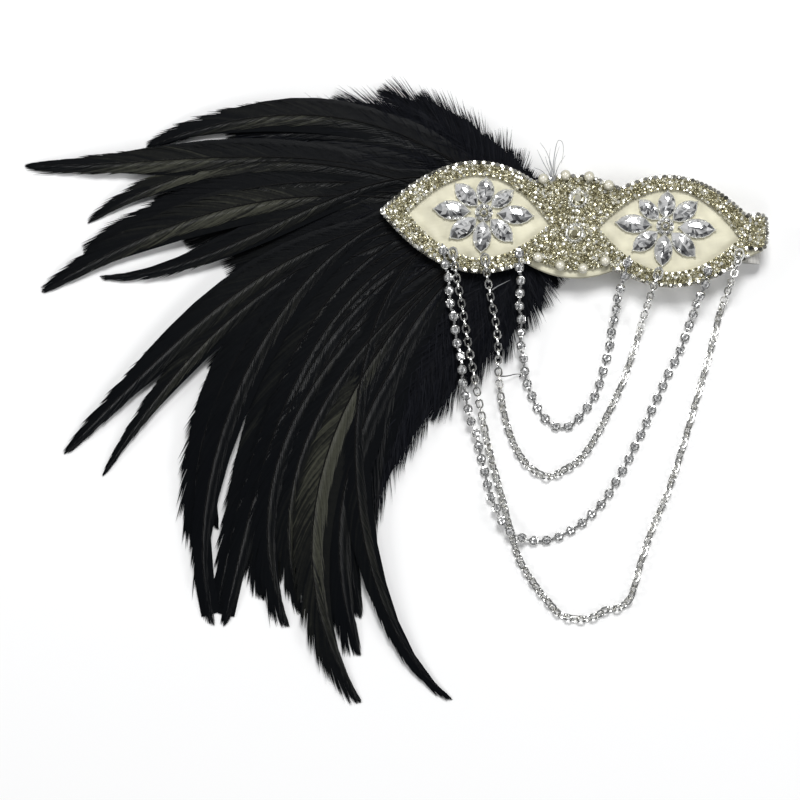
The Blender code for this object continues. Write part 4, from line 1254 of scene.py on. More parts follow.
@dataclass
class Crystals:
    """Boat-shaped crystals in their rims, flower middles and round crystals."""

    petals: int = 8
    arc_steps: int = 6
    rim: float = 0.00042
    petal_wall: float = 0.0017
    root_reach: float = 0.0024
    fullness: float = 1.30
    claw_sides: int = 7
    tip_claw: float = 0.00062
    side_claw: float = 0.00042
    claw_places: tuple[tuple[float, float], ...] = (
        (-0.485, 0.0), (0.485, 0.0), (-0.2, 0.41), (0.2, 0.41), (-0.2, -0.41), (0.2, -0.41))
    medallion_beads: int = 18
    middle_share: float = 0.86
    small_ring: float = 0.0041
    small_radius: float = 0.0015
    seed_ring: float = 0.0023
    seed_radius: float = 0.00055
    seed_z: float = 0.0028
    eye_radius: float = 0.0018
    eye_z: float = 0.0020
    lit_middle: float = 0.56
    lit_gain: float = 0.50
    lit_way: tuple[float, float] = (-0.5, 0.85)
    scatter: float = 0.42
    tones: np.random.Generator = field(default_factory=lambda: np.random.default_rng(7))

    def boat(self, length: float, width: float, share: float, z: float, stagger: float = 0.0) -> list:
        """Return a pointed boat outline about its own middle.

        Args:
            length: from tip to tip.
            width: at its middle.
            share: how much of both it takes.
            z: its height.
            stagger: how far its points move on, as a share of a step.

        Returns:
            The outline's points.
        """
        half, bulge = length / 2, width / 2
        radius = (half * half + bulge * bulge) / (2 * bulge)
        steps = self.arc_steps
        low = []
        for i in range(steps):
            x = -half + length * (i + stagger) / steps
            y = math.sqrt(max(0.0, radius * radius - x * x)) - radius + bulge
            low.append((x * share, -y * share, z))
        return low + [(-x, -y, z) for x, y, z in low]

    def setting(self, pile: Pile, frame: Place, length: float, width: float, bottom: float,
                height: float) -> None:
        """Add one boat crystal: rim, stone and claws.

        Args:
            pile: where it goes.
            frame: its place and turn on the panel.
            length: over the rim.
            width: over the rim.
            bottom: lowest point.
            height: height of the table.
        """
        wall = self.petal_wall
        inner = 1.0 - 2 * self.rim / width
        inner_long = 1.0 - 3.2 * self.rim / length
        outer = self.boat(length, width, 1.0, 0.0)
        hollow = [(x * inner_long, y * inner, z) for x, y, z in outer]
        lip = [(x * 0.985, y * 0.96, z) for x, y, z in outer]
        levels = ((outer, 0.0), (outer, 0.85), (lip, 1.0), (hollow, 1.0), (hollow, 0.55))
        points, faces = loft([[(x, y, bottom + wall * share) for x, y, _ in ring] for ring, share in levels])
        pile.add(frame.put(points), faces, RIM_METAL)
        self.stone(pile, frame, (length * inner_long * 0.985, width * inner * 0.97),
                   (bottom + wall * 0.62, bottom + wall * 0.95, bottom + height))
        self.claws(pile, frame, length, width, bottom)

    def stone(self, pile: Pile, frame: Place, size: tuple[float, float],
              heights: tuple[float, float, float]) -> None:
        """Add the cut stone: a row of facets up from its girdle and a ridge along its middle.

        Args:
            pile: where it goes.
            frame: its place and turn on the panel.
            size: its length and width.
            heights: of its foot, girdle and ridge.
        """
        foot, girdle, top = heights
        rings = [self.boat(*size, 0.97, foot), self.boat(*size, 1.0, girdle),
                 self.boat(*size, 0.66, girdle + 0.70 * (top - girdle), 0.5),
                 [(x * 0.40, y * 0.10, top) for x, y, _ in self.boat(*size, 1.0, top)]]
        points, faces = self.crown(rings)
        points = frame.put(points)
        pile.add(points, faces, CRYSTAL, self.shades(points, faces))

    @staticmethod
    def crown(rings: list) -> tuple[list, list]:
        """Close a stone over rings that are joined by triangles.

        Args:
            rings: from its foot to its table.

        Returns:
            Its points and faces.
        """
        count = len(rings[0])
        points = [point for ring in rings for point in ring]
        faces = [tuple(range(count - 1, -1, -1))]
        for level in range(len(rings) - 1):
            low, high = level * count, (level + 1) * count
            for i in range(count):
                j = (i + 1) % count
                faces.append((low + i, low + j, high + i))
                faces.append((low + j, high + j, high + i))
        faces.append(tuple((len(rings) - 1) * count + i for i in range(count)))
        return points, faces

    def shades(self, points: list, faces: list) -> list[float]:
        """Paint a shade on each facet, painted lighter the more it faces the light, with a wide scatter.

        Args:
            points: of the stone.
            faces: its facets.

        Returns:
            One shade for each facet.
        """
        places = np.array(points)
        shades = []
        for face in faces:
            a, b, c = places[face[0]], places[face[1]], places[face[2]]
            normal = np.cross(b - a, c - a)
            normal = normal / max(float(np.linalg.norm(normal)), 1e-12)
            # Painted light: facets that face lit_way are painted lighter, the rest darker
            tilt = self.lit_way[1] * normal[1] + self.lit_way[0] * normal[0]
            lit = self.lit_middle + self.lit_gain * tilt + self.tones.uniform(-self.scatter, self.scatter)
            shades.append(float(np.clip(lit, 0.0, 1.0)))
        return shades

    def claws(self, pile: Pile, frame: Place, length: float, width: float, bottom: float) -> None:
        """Add a small round grip at each tip and two on each side.

        Args:
            pile: where they go.
            frame: the crystal's place and turn on the panel.
            length: over the rim.
            width: over the rim.
            bottom: lowest point of the rim.
        """
        for along, across in self.claw_places:
            radius = self.tip_claw if across == 0.0 else self.side_claw
            centre = (along * length, across * width)
            levels = ((1.0, 0.5, 0.0), (1.0, 1.0, 0.0002), (0.5, 1.0, 0.0006))
            points, faces = loft([
                circle(radius * share, bottom + self.petal_wall * up + rise, self.claw_sides, 0.0, centre)
                for share, up, rise in levels])
            pile.add(frame.put(points), faces, RIM_METAL)

    def round_stone(self, pile: Pile, centre: tuple[float, float], radius: float, bottom: float,
                    height: float, sides: int, finish: Finish = CRYSTAL) -> None:
        """Add a round crystal in a plain cup.

        Args:
            pile: where it goes.
            centre: its place on the panel.
            radius: over the cup.
            bottom: lowest point.
            height: of the table above the bottom.
            sides: number of main facets.
            finish: of the stone.
        """
        wall = height * 0.5
        inner = radius * 0.84
        cup = ((radius, 0.0), (radius, 1.0), (radius * 0.9, 1.15), (inner, 1.0), (inner, 0.5))
        pile.add(*loft([circle(size, bottom + wall * up, 2 * sides, 0.0, centre) for size, up in cup]),
                 RIM_METAL)
        cut = ((0.97, 0.36, 0.0), (0.99, 0.50, 0.0), (0.78, 0.80, math.pi / sides), (0.46, 1.0, 0.0))
        points, faces = self.crown([circle(inner * size, bottom + height * up, sides, turn, centre)
                                    for size, up, turn in cut])
        pile.add(points, faces, finish, self.shades(points, faces))

    def build(self) -> None:
        """Replace each petal, middle and round crystal."""
        for side, word in ((-1, "left"), (1, "right")):
            hub = (side * FLOWER_X, FLOWER_Y)
            for number in range(1, self.petals + 1):
                self.petal(f"petal_{word}_{number}", hub)
            self.middle(f"flower_centre_{word}", hub)
        for name in ("medallion_upper", "medallion_lower"):
            self.medallion(name)

    def medallion(self, name: str) -> None:
        """Replace a round crystal and set a ring of beads round it.

        Args:
            name: its node.
        """
        low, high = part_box(name)
        centre = ((low.x + high.x) / 2, (low.y + high.y) / 2)
        radius = (high.x - low.x) / 2
        pile = Pile()
        # The stone's facets carry painted shade from shades, lighter towards the light, in the small stones'
        # colours
        self.round_stone(pile, centre, radius * 0.86, low.z, high.z - low.z, 8, STONES)
        levels = ((0.10, 0.0), (0.13, 0.5), (0.11, 1.0), (0.05, 1.3))
        for x, y, _ in circle(radius * 0.92, low.z, self.medallion_beads, 0.0, centre):
            bead = [circle(radius * share, low.z + up * MM, 7, 0.0, (x, y)) for share, up in levels]
            pile.add(*loft(bead), RIM_METAL)
        keep(pile.build(f"round_{name}"), "crystal", name)

    def petal(self, name: str, hub: tuple[float, float]) -> None:
        """Replace one boat crystal, measured from its solid.

        Args:
            name: its node.
            hub: its flower's middle.
        """
        points = np.array([vertex.co for vertex in bpy.data.objects[name].data.vertices])
        flat = points[:, :2]
        distance = np.linalg.norm(flat - np.array(hub), axis=1)
        near, far = flat[distance.argmin()], flat[distance.argmax()]
        way = (far - near) / np.linalg.norm(far - near)
        near = near - way * self.root_reach
        across = np.array([-way[1], way[0]])
        centre = (near + far) / 2
        length = float(np.linalg.norm(far - near))
        width = float(np.ptp((flat - centre) @ across)) * self.fullness
        bottom, top = float(points[:, 2].min()), float(points[:, 2].max())
        pile = Pile()
        place = Place(tuple(centre), math.atan2(way[1], way[0]))
        self.setting(pile, place, length, width, bottom, top - bottom)
        keep(pile.build(f"crystal_{name}"), "crystal", name)

    def middle(self, name: str, hub: tuple[float, float]) -> None:
        """Replace a flower's middle: eight small stones round a raised one, with seed beads between.

        Args:
            name: its node.
            hub: its place.
        """
        low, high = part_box(name)
        pile = Pile()
        size = self.middle_share
        foot = ((0.94, 0.0), (0.94, 1.2), (0.5, 2.1), (0.3, 2.2))
        pile.add(*loft([circle(FLOWER_CENTRE_RADIUS * size * share, low.z + up * MM, 16, 0.0, hub)
                        for share, up in foot]), RIM_METAL)
        for x, y, _ in circle(self.small_ring * size, low.z, 8, math.pi / 8, hub):
            self.round_stone(pile, (x, y), self.small_radius * size, low.z + 0.0013, 0.0017, 6)
        for i, (x, y, _) in enumerate(circle(self.seed_ring * size, low.z, 12, 0.2, hub)):
            bead = [circle(self.seed_radius * math.sin(polar),
                           low.z + self.seed_z - self.seed_radius * math.cos(polar), 6, polar, (x, y))
                    for polar in (0.5, 1.2, 1.9, 2.6)]
            points, faces = loft(bead)
            pile.add(points, faces, STONES, [0.35 + 0.05 * (i % 8)] * len(faces))
        rise = high.z - low.z - self.eye_z
        self.round_stone(pile, hub, self.eye_radius * size, low.z + self.eye_z, rise, 8)
        keep(pile.build(f"stones_{name}"), "crystal", name)


@dataclass
class Pearls:
    """Ivory pearls, each flat where its bore ends."""

    count: int = 8
    sides: int = 28
    levels: int = 16
    swell: float = 1.02
    bore_angle: float = 0.12

    def build(self) -> None:
        """Replace the pearls."""
        for number in range(1, self.count + 1):
            name = f"pearl_{number}"
            low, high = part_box(name)
            centre = (low + high) / 2
            radius = (high.x - low.x) / 2 * self.swell
            rings = []
            for i in range(self.levels + 1):
                polar = self.bore_angle + (math.pi - 2 * self.bore_angle) * i / self.levels
                ring = circle(radius * math.sin(polar), 0.0, self.sides)
                y = centre.y + radius * math.cos(polar)
                rings.append([(centre.x + u, y, centre.z + v) for u, v, _ in ring])
            keep(Pile.of(*loft(rings), PEARL).build(f"round_{name}", 60.0), "pearl", name)


@dataclass
class Chains:
    """Trace chains of oval links and chains of stones in cups."""

    link_pitch: float = 0.0035
    link_length: float = 0.0058
    link_width: float = 0.0046
    wire: float = 0.00055
    link_sides: int = 14
    wire_sides: int = 6
    settle: float = 0.0004
    quarter: float = math.pi / 2
    ring_size: float = 1.28
    ring_lift: float = 0.0006
    cup_pitch: float = 0.00725
    cup_radius: float = 0.0025
    cup_size: float = 1.05
    claws: int = 4
    bar_half: float = 0.0005
    bar_heights: tuple[float, float] = (0.0009, 0.0015)

    def link(self, stones: SmallStones) -> bpy.types.Object:
        """Make one oval link along X.

        Args:
            stones: maker of prototypes.

        Returns:
            The prototype.
        """
        straight = (self.link_length - self.link_width) / 2
        bend = self.link_width / 2 - self.wire
        points, faces = [], []
        for i in range(self.link_sides):
            angle = 2 * math.pi * (i + 0.5) / self.link_sides
            shift = straight if math.cos(angle) > 0 else -straight
            for k in range(self.wire_sides):
                turn = 2 * math.pi * k / self.wire_sides
                out = bend + self.wire * math.cos(turn)
                z = self.wire * math.sin(turn)
                points.append((shift + out * math.cos(angle), out * math.sin(angle), z))
        for i in range(self.link_sides):
            here, there = i * self.wire_sides, (i + 1) % self.link_sides * self.wire_sides
            for k in range(self.wire_sides):
                n = (k + 1) % self.wire_sides
                faces.append((here + k, there + k, there + n, here + n))
        return stones.store("oval_link", Pile.of(points, faces, BRIGHT), 50.0)

    def cup(self, stones: SmallStones) -> bpy.types.Object:
        """Make one cup with its claws and half of each bar to its neighbours.

        Args:
            stones: maker of prototypes.

        Returns:
            The prototype.
        """
        radius = self.cup_radius
        bowl = ((0.86, 0.0), (1.0, 0.5), (1.0, 1.5), (0.82, 1.6), (0.80, 1.0), (0.12, 0.7))
        pile = Pile()
        pile.add(*loft([circle(radius * share, up * MM, 8, math.pi / 8) for share, up in bowl]), CUP_METAL)
        for i, (x, y, _) in enumerate(circle(radius * 0.84, 0.0, self.claws, math.pi / 4)):
            angle = math.pi / 4 + 2 * math.pi * i / self.claws
            claw = [circle(radius * share, up * MM, 5, angle, (x, y))
                    for share, up in ((0.2, 0.4), (0.22, 1.9), (0.1, 2.3))]
            pile.add(*loft(claw), CUP_METAL)
        for side in (-1, 1):
            ends = (side * radius * 0.9, side * (self.cup_pitch / 2 + 0.0001))
            breadth = (-self.bar_half, self.bar_half)
            corners = [(x, y, z) for x in ends for y in breadth for z in self.bar_heights]
            sides = [(0, 1, 3, 2), (4, 6, 7, 5), (0, 4, 5, 1), (2, 3, 7, 6), (0, 2, 6, 4), (1, 5, 7, 3)]
            pile.add(corners, sides, CUP_METAL)
        return stones.store("cup", pile)

    def chaton(self, stones: SmallStones) -> bpy.types.Object:
        """Make the cut stone of a cup.

        Args:
            stones: maker of prototypes.

        Returns:
            The prototype.
        """
        cut = ((0.80, 1.20, 0.0), (0.80, 1.65, 0.0), (0.62, 2.30, math.pi / 8), (0.34, 2.75, 0.0))
        points, faces = Crystals.crown([circle(self.cup_radius * share, up * MM, 8, turn)
                                        for share, up, turn in cut])
        # Painted reflections: each facet of the stone gets a random shade from dark to white
        shades = np.random.default_rng(3).uniform(0.0, 1.0, len(faces)).tolist()
        return stones.store("chaton", Pile.of(points, faces, CRYSTAL, shades))

    def build(self, stones: SmallStones, along: PatternTree) -> None:
        """Replace the four chains.

        Args:
            stones: maker of prototypes.
            along: the tree that follows a path.
        """
        link = self.link(stones)
        for name in ("link_chain_long", "link_chain_middle"):
            self.trace(name, link, along)
        cup, chaton = self.cup(stones), self.chaton(stones)
        for name in ("cup_chain_long", "cup_chain_short"):
            self.cups(name, cup, chaton, along)

    def trace(self, name: str, link: bpy.types.Object, along: PatternTree) -> None:
        """Replace a trace chain: each link stands across the last, and on the floor they lean over.

        Args:
            name: its node.
            link: the prototype.
            along: the tree that follows a path.
        """
        route = smooth_route(CHAIN_ROUTES[name], self.link_pitch)
        lies = np.clip((6.0 * MM - route[:, 2]) / (3.0 * MM), 0.0, 1.0)
        route[:, 2] -= self.settle * lies
        order = np.arange(len(route))
        lean = lies * np.radians(np.where(order % 2 == 0, 36.0, 54.0)) + 0.12 * np.sin(order * 1.7)
        path = path_object(route, lean)
        keep(set_along(along, link, path, f"{name}_links", 1.0, (0.0, self.quarter), BRIGHT), "silver", name)
        for ends, word in ((route[:2], "left"), (route[:-3:-1], "right")):
            path = path_object(ends + (0.0, 0.0, self.ring_lift))
            keep(set_along(along, link, path, f"{name}_jump_rings_{word}", self.ring_size,
                           (0.0, self.quarter), BRIGHT), "silver")

    def cups(self, name: str, cup: bpy.types.Object, chaton: bpy.types.Object, along: PatternTree) -> None:
        """Replace a chain of stones in cups. Those on the floor lean less.

        Args:
            name: its node.
            cup: the prototype cup.
            chaton: the prototype stone.
            along: the tree that follows a path.
        """
        route = smooth_route(CHAIN_ROUTES[name], self.cup_pitch)
        order = np.arange(len(route))
        floor_share = np.clip((3.0 * MM - route[:, 2]) / (2.0 * MM), 0.0, 1.0)
        lean = (0.30 * np.sin(order * 2.1) + 0.12 * np.sin(order * 5.3)) * (1.0 - 0.66 * floor_share)
        for item, word, finish, nodes in ((cup, "cups", CUP_METAL, (name,)), (chaton, "stones", CRYSTAL, ())):
            path = path_object(route, lean)
            piece = set_along(along, item, path, f"{name}_{word}", self.cup_size, (0.0, 0.0), finish)
            keep(piece, "stone_chain", *nodes)


@dataclass
class Strap:
    """Ribbed elastic that runs from both ends of the panel and folds back under it."""

    ribs: int = 11
    rib_height: float = 0.00016
    thickness: float = 0.0012
    plume_gap_z: float = 0.0060
    tail: float = 0.030
    right_x: float = 0.0960
    left_x: float = -0.0800
    seat: float = 0.0003

    def path(self) -> list[tuple[float, float]]:
        """Return the elastic's middle line in the XZ plane, as its solid has it."""
        half = self.thickness / 2
        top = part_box("strap")[1].z - half
        path = [(self.right_x - self.tail, top)]
        under = self.plume_gap_z - self.seat - half
        for x, high, first in ((self.right_x, top, 90.0), (self.left_x, under, 270.0)):
            radius = (high - half) / 2
            for i in range(13):
                turn = math.radians(first - 15.0 * i)
                path.append((x + radius * math.cos(turn), half + radius + radius * math.sin(turn)))
        path.append((self.left_x + self.tail, under))
        return path

    def build(self) -> None:
        """Sweep the ribbed section along the path."""
        low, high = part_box("strap")
        path = self.path()
        half = self.thickness / 2 - self.rib_height
        count = 4 * self.ribs
        across = [low.y + (high.y - low.y) * i / count for i in range(count + 1)]
        swell = [self.rib_height * (0.5 - 0.5 * math.cos(2 * math.pi * i / 4)) for i in range(count + 1)]
        rings = []
        for i, (x, z) in enumerate(path):
            before, after = Vector(path[max(0, i - 1)]), Vector(path[min(len(path) - 1, i + 1)])
            way = (after - before).normalized()
            out = Vector((-way.y, way.x))
            upper = [(x + out.x * (half + s), y, z + out.y * (half + s)) for y, s in zip(across, swell)]
            lower = [(x - out.x * (half + s), y, z - out.y * (half + s)) for y, s in zip(across, swell)]
            rings.append(upper + lower[::-1])
        keep(Pile.of(*loft(rings), ELASTIC).build("ribbed_elastic", 60.0), "elastic", "strap")


@dataclass(frozen=True)
class Blade:
    """One feather or lock: its tip from the root, its quill's two ways in degrees, its width and layer."""

    bearing: float
    reach: float
    leave: float
    arrive: float
    width: float
    layer: int = 0
    tone: float = 0.4
    cut: float = 0.0


# The solid's feathers, drawn in, moved or cut off short where the photograph has them so:
# bearing, reach, leave, arrive, width, layer, tone (how much painted sheen) and cut
FEATHERS: tuple[Blade, ...] = (
    Blade(172.0, 0.75, 132.5, 206.0, 0.80, 0, 0.48),
    Blade(177.4, 0.98, 155.0, 184.0, 0.84, 1, 0.56),
    Blade(183.6, 0.85, 160.0, 218.0, 0.74, 2, 0.68),
    Blade(192.0, 0.95, 168.0, 216.0, 0.90, 0, 0.70),
    Blade(191.5, 0.83, 136.0, 184.0, 0.62, 2, 0.40),
    Blade(210.8, 1.005, 175.0, 229.8, 0.84, 1, 0.40),
    Blade(215.1, 0.96, 180.0, 242.0, 0.68, 0, 0.45),
    Blade(236.4, 1.000, 156.0, 291.0, 0.82, 2, 0.30, 0.55),
    Blade(235.7, 0.963, 173.0, 264.0, 0.92, 0, 0.45),
    Blade(237.7, 0.985, 185.0, 262.0, 0.95, 1, 0.35, 0.40),
    Blade(243.9, 0.92, 205.0, 298.0, 0.90, 0, 0.45),
    Blade(244.7, 0.885, 213.0, 292.0, 0.75, 2, 0.55),
    Blade(255.4, 1.00, 214.0, 309.0, 0.95, 1, 0.92),
    Blade(253.6, 0.91, 225.0, 294.0, 1.05, 0, 0.25),
    Blade(265.6, 0.955, 174.0, 327.0, 0.66, 2, 0.30),
)

# Feathers that lie under and between those, inside the same fan
FILLERS: tuple[Blade, ...] = (
    Blade(168.0, 0.60, 128.0, 196.0, 0.95, 0, 0.30),
    Blade(180.0, 0.72, 150.0, 200.0, 1.10, 0, 0.40),
    Blade(187.0, 0.66, 160.0, 206.0, 1.20, 0, 0.50),
    Blade(187.7, 0.86, 162.0, 213.0, 0.95, 0, 0.50),
    Blade(195.0, 0.58, 170.0, 215.0, 1.30, 0, 0.45),
    Blade(203.0, 0.62, 176.0, 226.0, 1.30, 0, 0.35),
    Blade(210.5, 0.67, 182.0, 234.0, 1.05, 0, 0.35),
    Blade(218.0, 0.62, 184.0, 246.0, 1.20, 0, 0.35),
    Blade(224.5, 0.66, 176.0, 258.0, 1.10, 0, 0.30),
    Blade(230.2, 0.91, 166.0, 290.0, 0.92, 0, 0.35),
    Blade(232.0, 0.92, 160.0, 285.0, 0.84, 0, 0.30),
    Blade(229.0, 0.85, 160.0, 286.0, 0.90, 0, 0.35),
    Blade(234.0, 0.80, 190.0, 270.0, 1.30, 1, 0.40),
    Blade(240.0, 0.86, 200.0, 280.0, 1.30, 0, 0.60),
    Blade(239.6, 0.90, 194.0, 280.0, 1.05, 1, 0.50),
    Blade(247.0, 0.80, 212.0, 284.0, 1.35, 1, 0.45),
    Blade(250.0, 0.87, 212.0, 298.0, 1.10, 0, 0.35),
    Blade(250.0, 0.74, 216.0, 280.0, 1.25, 1, 0.30),
    Blade(252.0, 0.84, 208.0, 288.0, 1.00, 0, 0.25),
)

# Locks of down that cover the feathers' roots, laid over them
COVER_LOCKS: tuple[Blade, ...] = (
    Blade(158.0, 0.72, 140.0, 176.0, 1.00),
    Blade(166.0, 0.84, 146.0, 184.0, 1.00),
    Blade(175.0, 0.80, 156.0, 192.0, 1.00),
    Blade(184.0, 0.74, 166.0, 200.0, 1.00),
    Blade(193.0, 0.70, 174.0, 210.0, 1.00),
    Blade(202.0, 0.70, 182.0, 220.0, 1.00),
    Blade(211.0, 0.74, 190.0, 230.0, 1.00),
    Blade(220.0, 0.78, 196.0, 242.0, 1.00),
    Blade(229.0, 0.80, 206.0, 252.0, 1.00),
    Blade(238.0, 0.84, 216.0, 260.0, 1.00),
    Blade(246.0, 0.90, 228.0, 264.0, 1.00),
)

# Locks of down that show round the plume's head
LOCKS: tuple[Blade, ...] = (
    Blade(84.0, 0.145, 88.0, 80.0, 0.55),
    Blade(100.0, 0.20, 96.0, 104.0, 0.70),
    Blade(114.0, 0.26, 106.0, 121.0, 0.80),
    Blade(124.0, 0.34, 115.0, 134.0, 0.75),
    Blade(132.0, 0.455, 122.0, 146.0, 0.78),
    Blade(140.0, 0.54, 128.0, 158.0, 0.76),
    Blade(150.5, 0.63, 136.0, 172.0, 0.80),
    Blade(307.0, 0.20, 312.0, 300.0, 0.60),
    Blade(290.0, 0.24, 298.0, 282.0, 0.62),
    Blade(277.0, 0.295, 284.0, 268.0, 0.68),
    Blade(266.0, 0.385, 274.0, 260.0, 0.68),
    Blade(257.0, 0.47, 263.0, 251.0, 0.70),
    Blade(250.5, 0.60, 253.0, 248.0, 0.76),
    Blade(247.0, 0.77, 245.0, 251.0, 0.82),
    Blade(247.8, 0.97, 241.0, 262.0, 0.90),
)


@dataclass
class Hairs:
    """Barbs gathered before they are grown, batch by batch."""

    batches: list[dict[str, np.ndarray]] = field(default_factory=list)

    def add(self, **columns: np.ndarray) -> None:
        """Gather a batch: place, way, face, reach, girth and tone, one row for each barb."""
        self.batches.append(columns)

    def grow(self, name: str, item: bpy.types.Object, tree: PatternTree, finish: Finish) -> bpy.types.Object:
        """Grow all barbs as one mesh.

        Args:
            name: its name.
            item: the prototype barb.
            tree: the tree that grows a barb from each point.
            finish: what they are made of.

        Returns:
            The new piece.
        """
        whole = {key: np.concatenate([batch[key] for batch in self.batches]) for key in self.batches[0]}
        mesh = bpy.data.meshes.new("roots")
        mesh.from_pydata(whole.pop("place").tolist(), [], [])
        for key, values in whole.items():
            kind, slot = ("FLOAT_VECTOR", "vector") if values.ndim == 2 else ("FLOAT", "value")
            mesh.attributes.new(key, kind, "POINT").data.foreach_set(slot, values.ravel())
        return tree.lay(add_object("roots", mesh), name, {"Item": item, "Material": finish.make()})


@dataclass
class Plume:
    """Cock feathers and down, fanned from a root under the panel."""

    root: tuple[float, float] = (-0.030, -0.003)
    feather_reach: float = 0.270
    feather_width: float = 0.026
    feather_root_z: float = 0.0082
    feather_arch: float = 0.0055
    tip_z: float = 0.0012
    layer_step: float = 0.0007
    lock_reach: float = 0.190
    lock_width: float = 0.034
    lock_root_z: float = 0.0085
    lock_end: float = 0.0035
    leave_share: float = 0.42
    arrive_share: float = 0.36
    barb_step: float = 0.00090
    barb_girth: float = 0.00090
    hair_step: float = 0.00085
    hair_girth: float = 0.00034
    web_share: float = 0.94
    lock_web_share: float = 0.62
    lock_web_arch: float = 0.002
    quill_root: float = 0.00055
    quill_tip: float = 0.00010
    bed_reach: float = 0.140
    bed_sides: int = 72
    vane_profile: tuple = (
        (0.0, 0.10), (0.10, 0.25), (0.20, 0.45), (0.40, 0.86), (0.54, 1.02), (0.66, 1.0), (0.77, 0.88),
        (0.86, 0.68), (0.94, 0.42), (1.0, 0.14))
    web_profile: tuple = (
        (0.0, 0.2), (0.20, 0.45), (0.40, 0.86), (0.54, 1.0), (0.66, 0.93), (0.77, 0.72), (0.86, 0.45),
        (0.94, 0.2), (1.0, 0.04))
    lock_profile: tuple = ((0.0, 0.35), (0.25, 0.7), (0.5, 1.0), (0.72, 0.9), (0.88, 0.6), (1.0, 0.4))
    vane_angles: tuple = ((0.0, 46.0), (0.3, 33.0), (0.7, 22.0), (1.0, 8.0))
    lock_angles: tuple = ((0.0, 48.0), (0.5, 30.0), (1.0, 12.0))
    sheen_profile: tuple = ((0.0, 0.15), (0.45, 0.85), (0.75, 1.0), (1.0, 0.30))
    bed_profile: tuple = (
        (0.0, 0.17), (45.0, 0.17), (90.0, 0.22), (110.0, 0.33), (130.0, 0.56), (150.0, 0.80), (175.0, 0.97),
        (205.0, 1.0), (228.0, 1.0), (245.0, 0.78), (262.0, 0.50), (285.0, 0.28), (315.0, 0.19), (360.0, 0.17))
    bed_levels: tuple = (
        (0.40, 6.1), (0.75, 5.2), (0.93, 3.6), (0.97, 4.2), (0.86, 6.6), (0.68, 8.2), (0.40, 9.0))
    rng: np.random.Generator = field(default_factory=lambda: np.random.default_rng(21))

    def route(self, blade: Blade, reach: float, shares: np.ndarray) -> tuple[np.ndarray, np.ndarray]:
        """Follow a quill, seen from above.

        Args:
            blade: its feather or lock.
            reach: length that the blade's reach is a share of.
            shares: how far along to look.

        Returns:
            The places and the unit ways, one in each row.
        """
        chord = blade.reach * reach

        def away(degrees: float, length: float) -> np.ndarray:
            """Return a step of a length along a bearing."""
            return np.array([math.cos(math.radians(degrees)), math.sin(math.radians(degrees))]) * length

        start = np.array(self.root)
        end = start + away(blade.bearing, chord)
        first = start + away(blade.leave, chord * self.leave_share)
        second = end - away(blade.arrive, chord * self.arrive_share)
        t = shares[:, None]
        rest = 1.0 - t
        place = start * rest ** 3 + first * 3 * rest ** 2 * t + second * 3 * rest * t ** 2 + end * t ** 3
        way = (first - start) * rest ** 2 + (second - first) * 2 * rest * t + (end - second) * t ** 2
        return place, way / np.linalg.norm(way, axis=1)[:, None]

    def height(self, blade: Blade, shares: np.ndarray, root_z: float, arch: float) -> np.ndarray:
        """Return the quill's height along it."""
        lift = self.layer_step * blade.layer * (1.0 - shares)
        return root_z + (self.tip_z - root_z) * shares + arch * 4 * shares * (1.0 - shares) + lift

    def clumps(self, count: int, size: float) -> np.ndarray:
        """Draw barbs together in clumps.

        Args:
            count: number of barbs.
            size: how many make a clump, about.

        Returns:
            A share of a turn for each barb.
        """
        edges = np.cumsum(self.rng.uniform(0.5, 1.6, count) * size)
        place = np.arange(count, dtype=float)
        group = np.searchsorted(edges, place)
        start = np.concatenate([[0.0], edges])[group]
        length = np.concatenate([edges[:1], np.diff(edges)])[np.minimum(group, count - 1)]
        return (place - start) / np.maximum(length, 1.0) - 0.5

    def vane(self, hairs: Hairs, blade: Blade) -> None:
        """Gather the barbs of one feather.

        Args:
            hairs: where they go.
            blade: the feather.
        """
        chord = blade.reach * self.feather_reach
        count = int(chord / self.barb_step)
        shares = np.linspace(0.10, 0.995, count)
        place, way = self.route(blade, self.feather_reach, shares)
        z = self.height(blade, shares, self.feather_root_z, self.feather_arch)
        half = read_profile(shares, self.vane_profile)
        half = np.maximum(half, blade.cut * (shares > 0.9)) * self.feather_width * blade.width / 2
        slope = np.gradient(z, shares * chord)
        for side in (-1.0, 1.0):
            turn = self.clumps(count, 14.0)
            angle = read_profile(shares, self.vane_angles) + 4.0 * turn
            angle += self.rng.normal(0.0, 1.2, count)
            angle = np.radians(np.clip(angle, 4.0, 70.0))
            reach = half / np.sin(np.maximum(angle, 0.16)) * self.rng.uniform(0.90, 1.04, count)
            reach = np.minimum(np.clip(reach, 0.004, 0.052), (1.012 - shares) * chord / np.cos(angle) + 0.002)
            flat = self.spread(way, angle, side)
            droop = slope * np.cos(angle) - 0.05 * np.sin(angle) + self.rng.normal(0.0, 0.010, count)
            low_end = (0.0006 - z) / reach
            # Painted sheen: the tone waves slowly along the quill, one side is lighter than the other, and it
            # fades at root and tip; clumps and noise add random change
            tone = blade.tone + 0.20 * np.sin(shares * 9 + blade.bearing) + 0.13 * side + 0.12 * turn
            tone = (tone + self.rng.normal(0.0, 0.10, count)) * read_profile(shares, self.sheen_profile)
            root_z = z + 0.0001 * self.rng.uniform(-1, 1, count)
            girth = np.clip(reach / 0.022, 0.22, 1.3) * self.rng.uniform(0.9, 1.2, count)
            hairs.add(place=np.column_stack([place, root_z]), reach=reach, girth=self.barb_girth * girth,
                      way=np.column_stack([flat, np.maximum(droop, low_end)]),
                      face=self.up(side, count), tone=np.clip(tone, 0.0, 1.0))

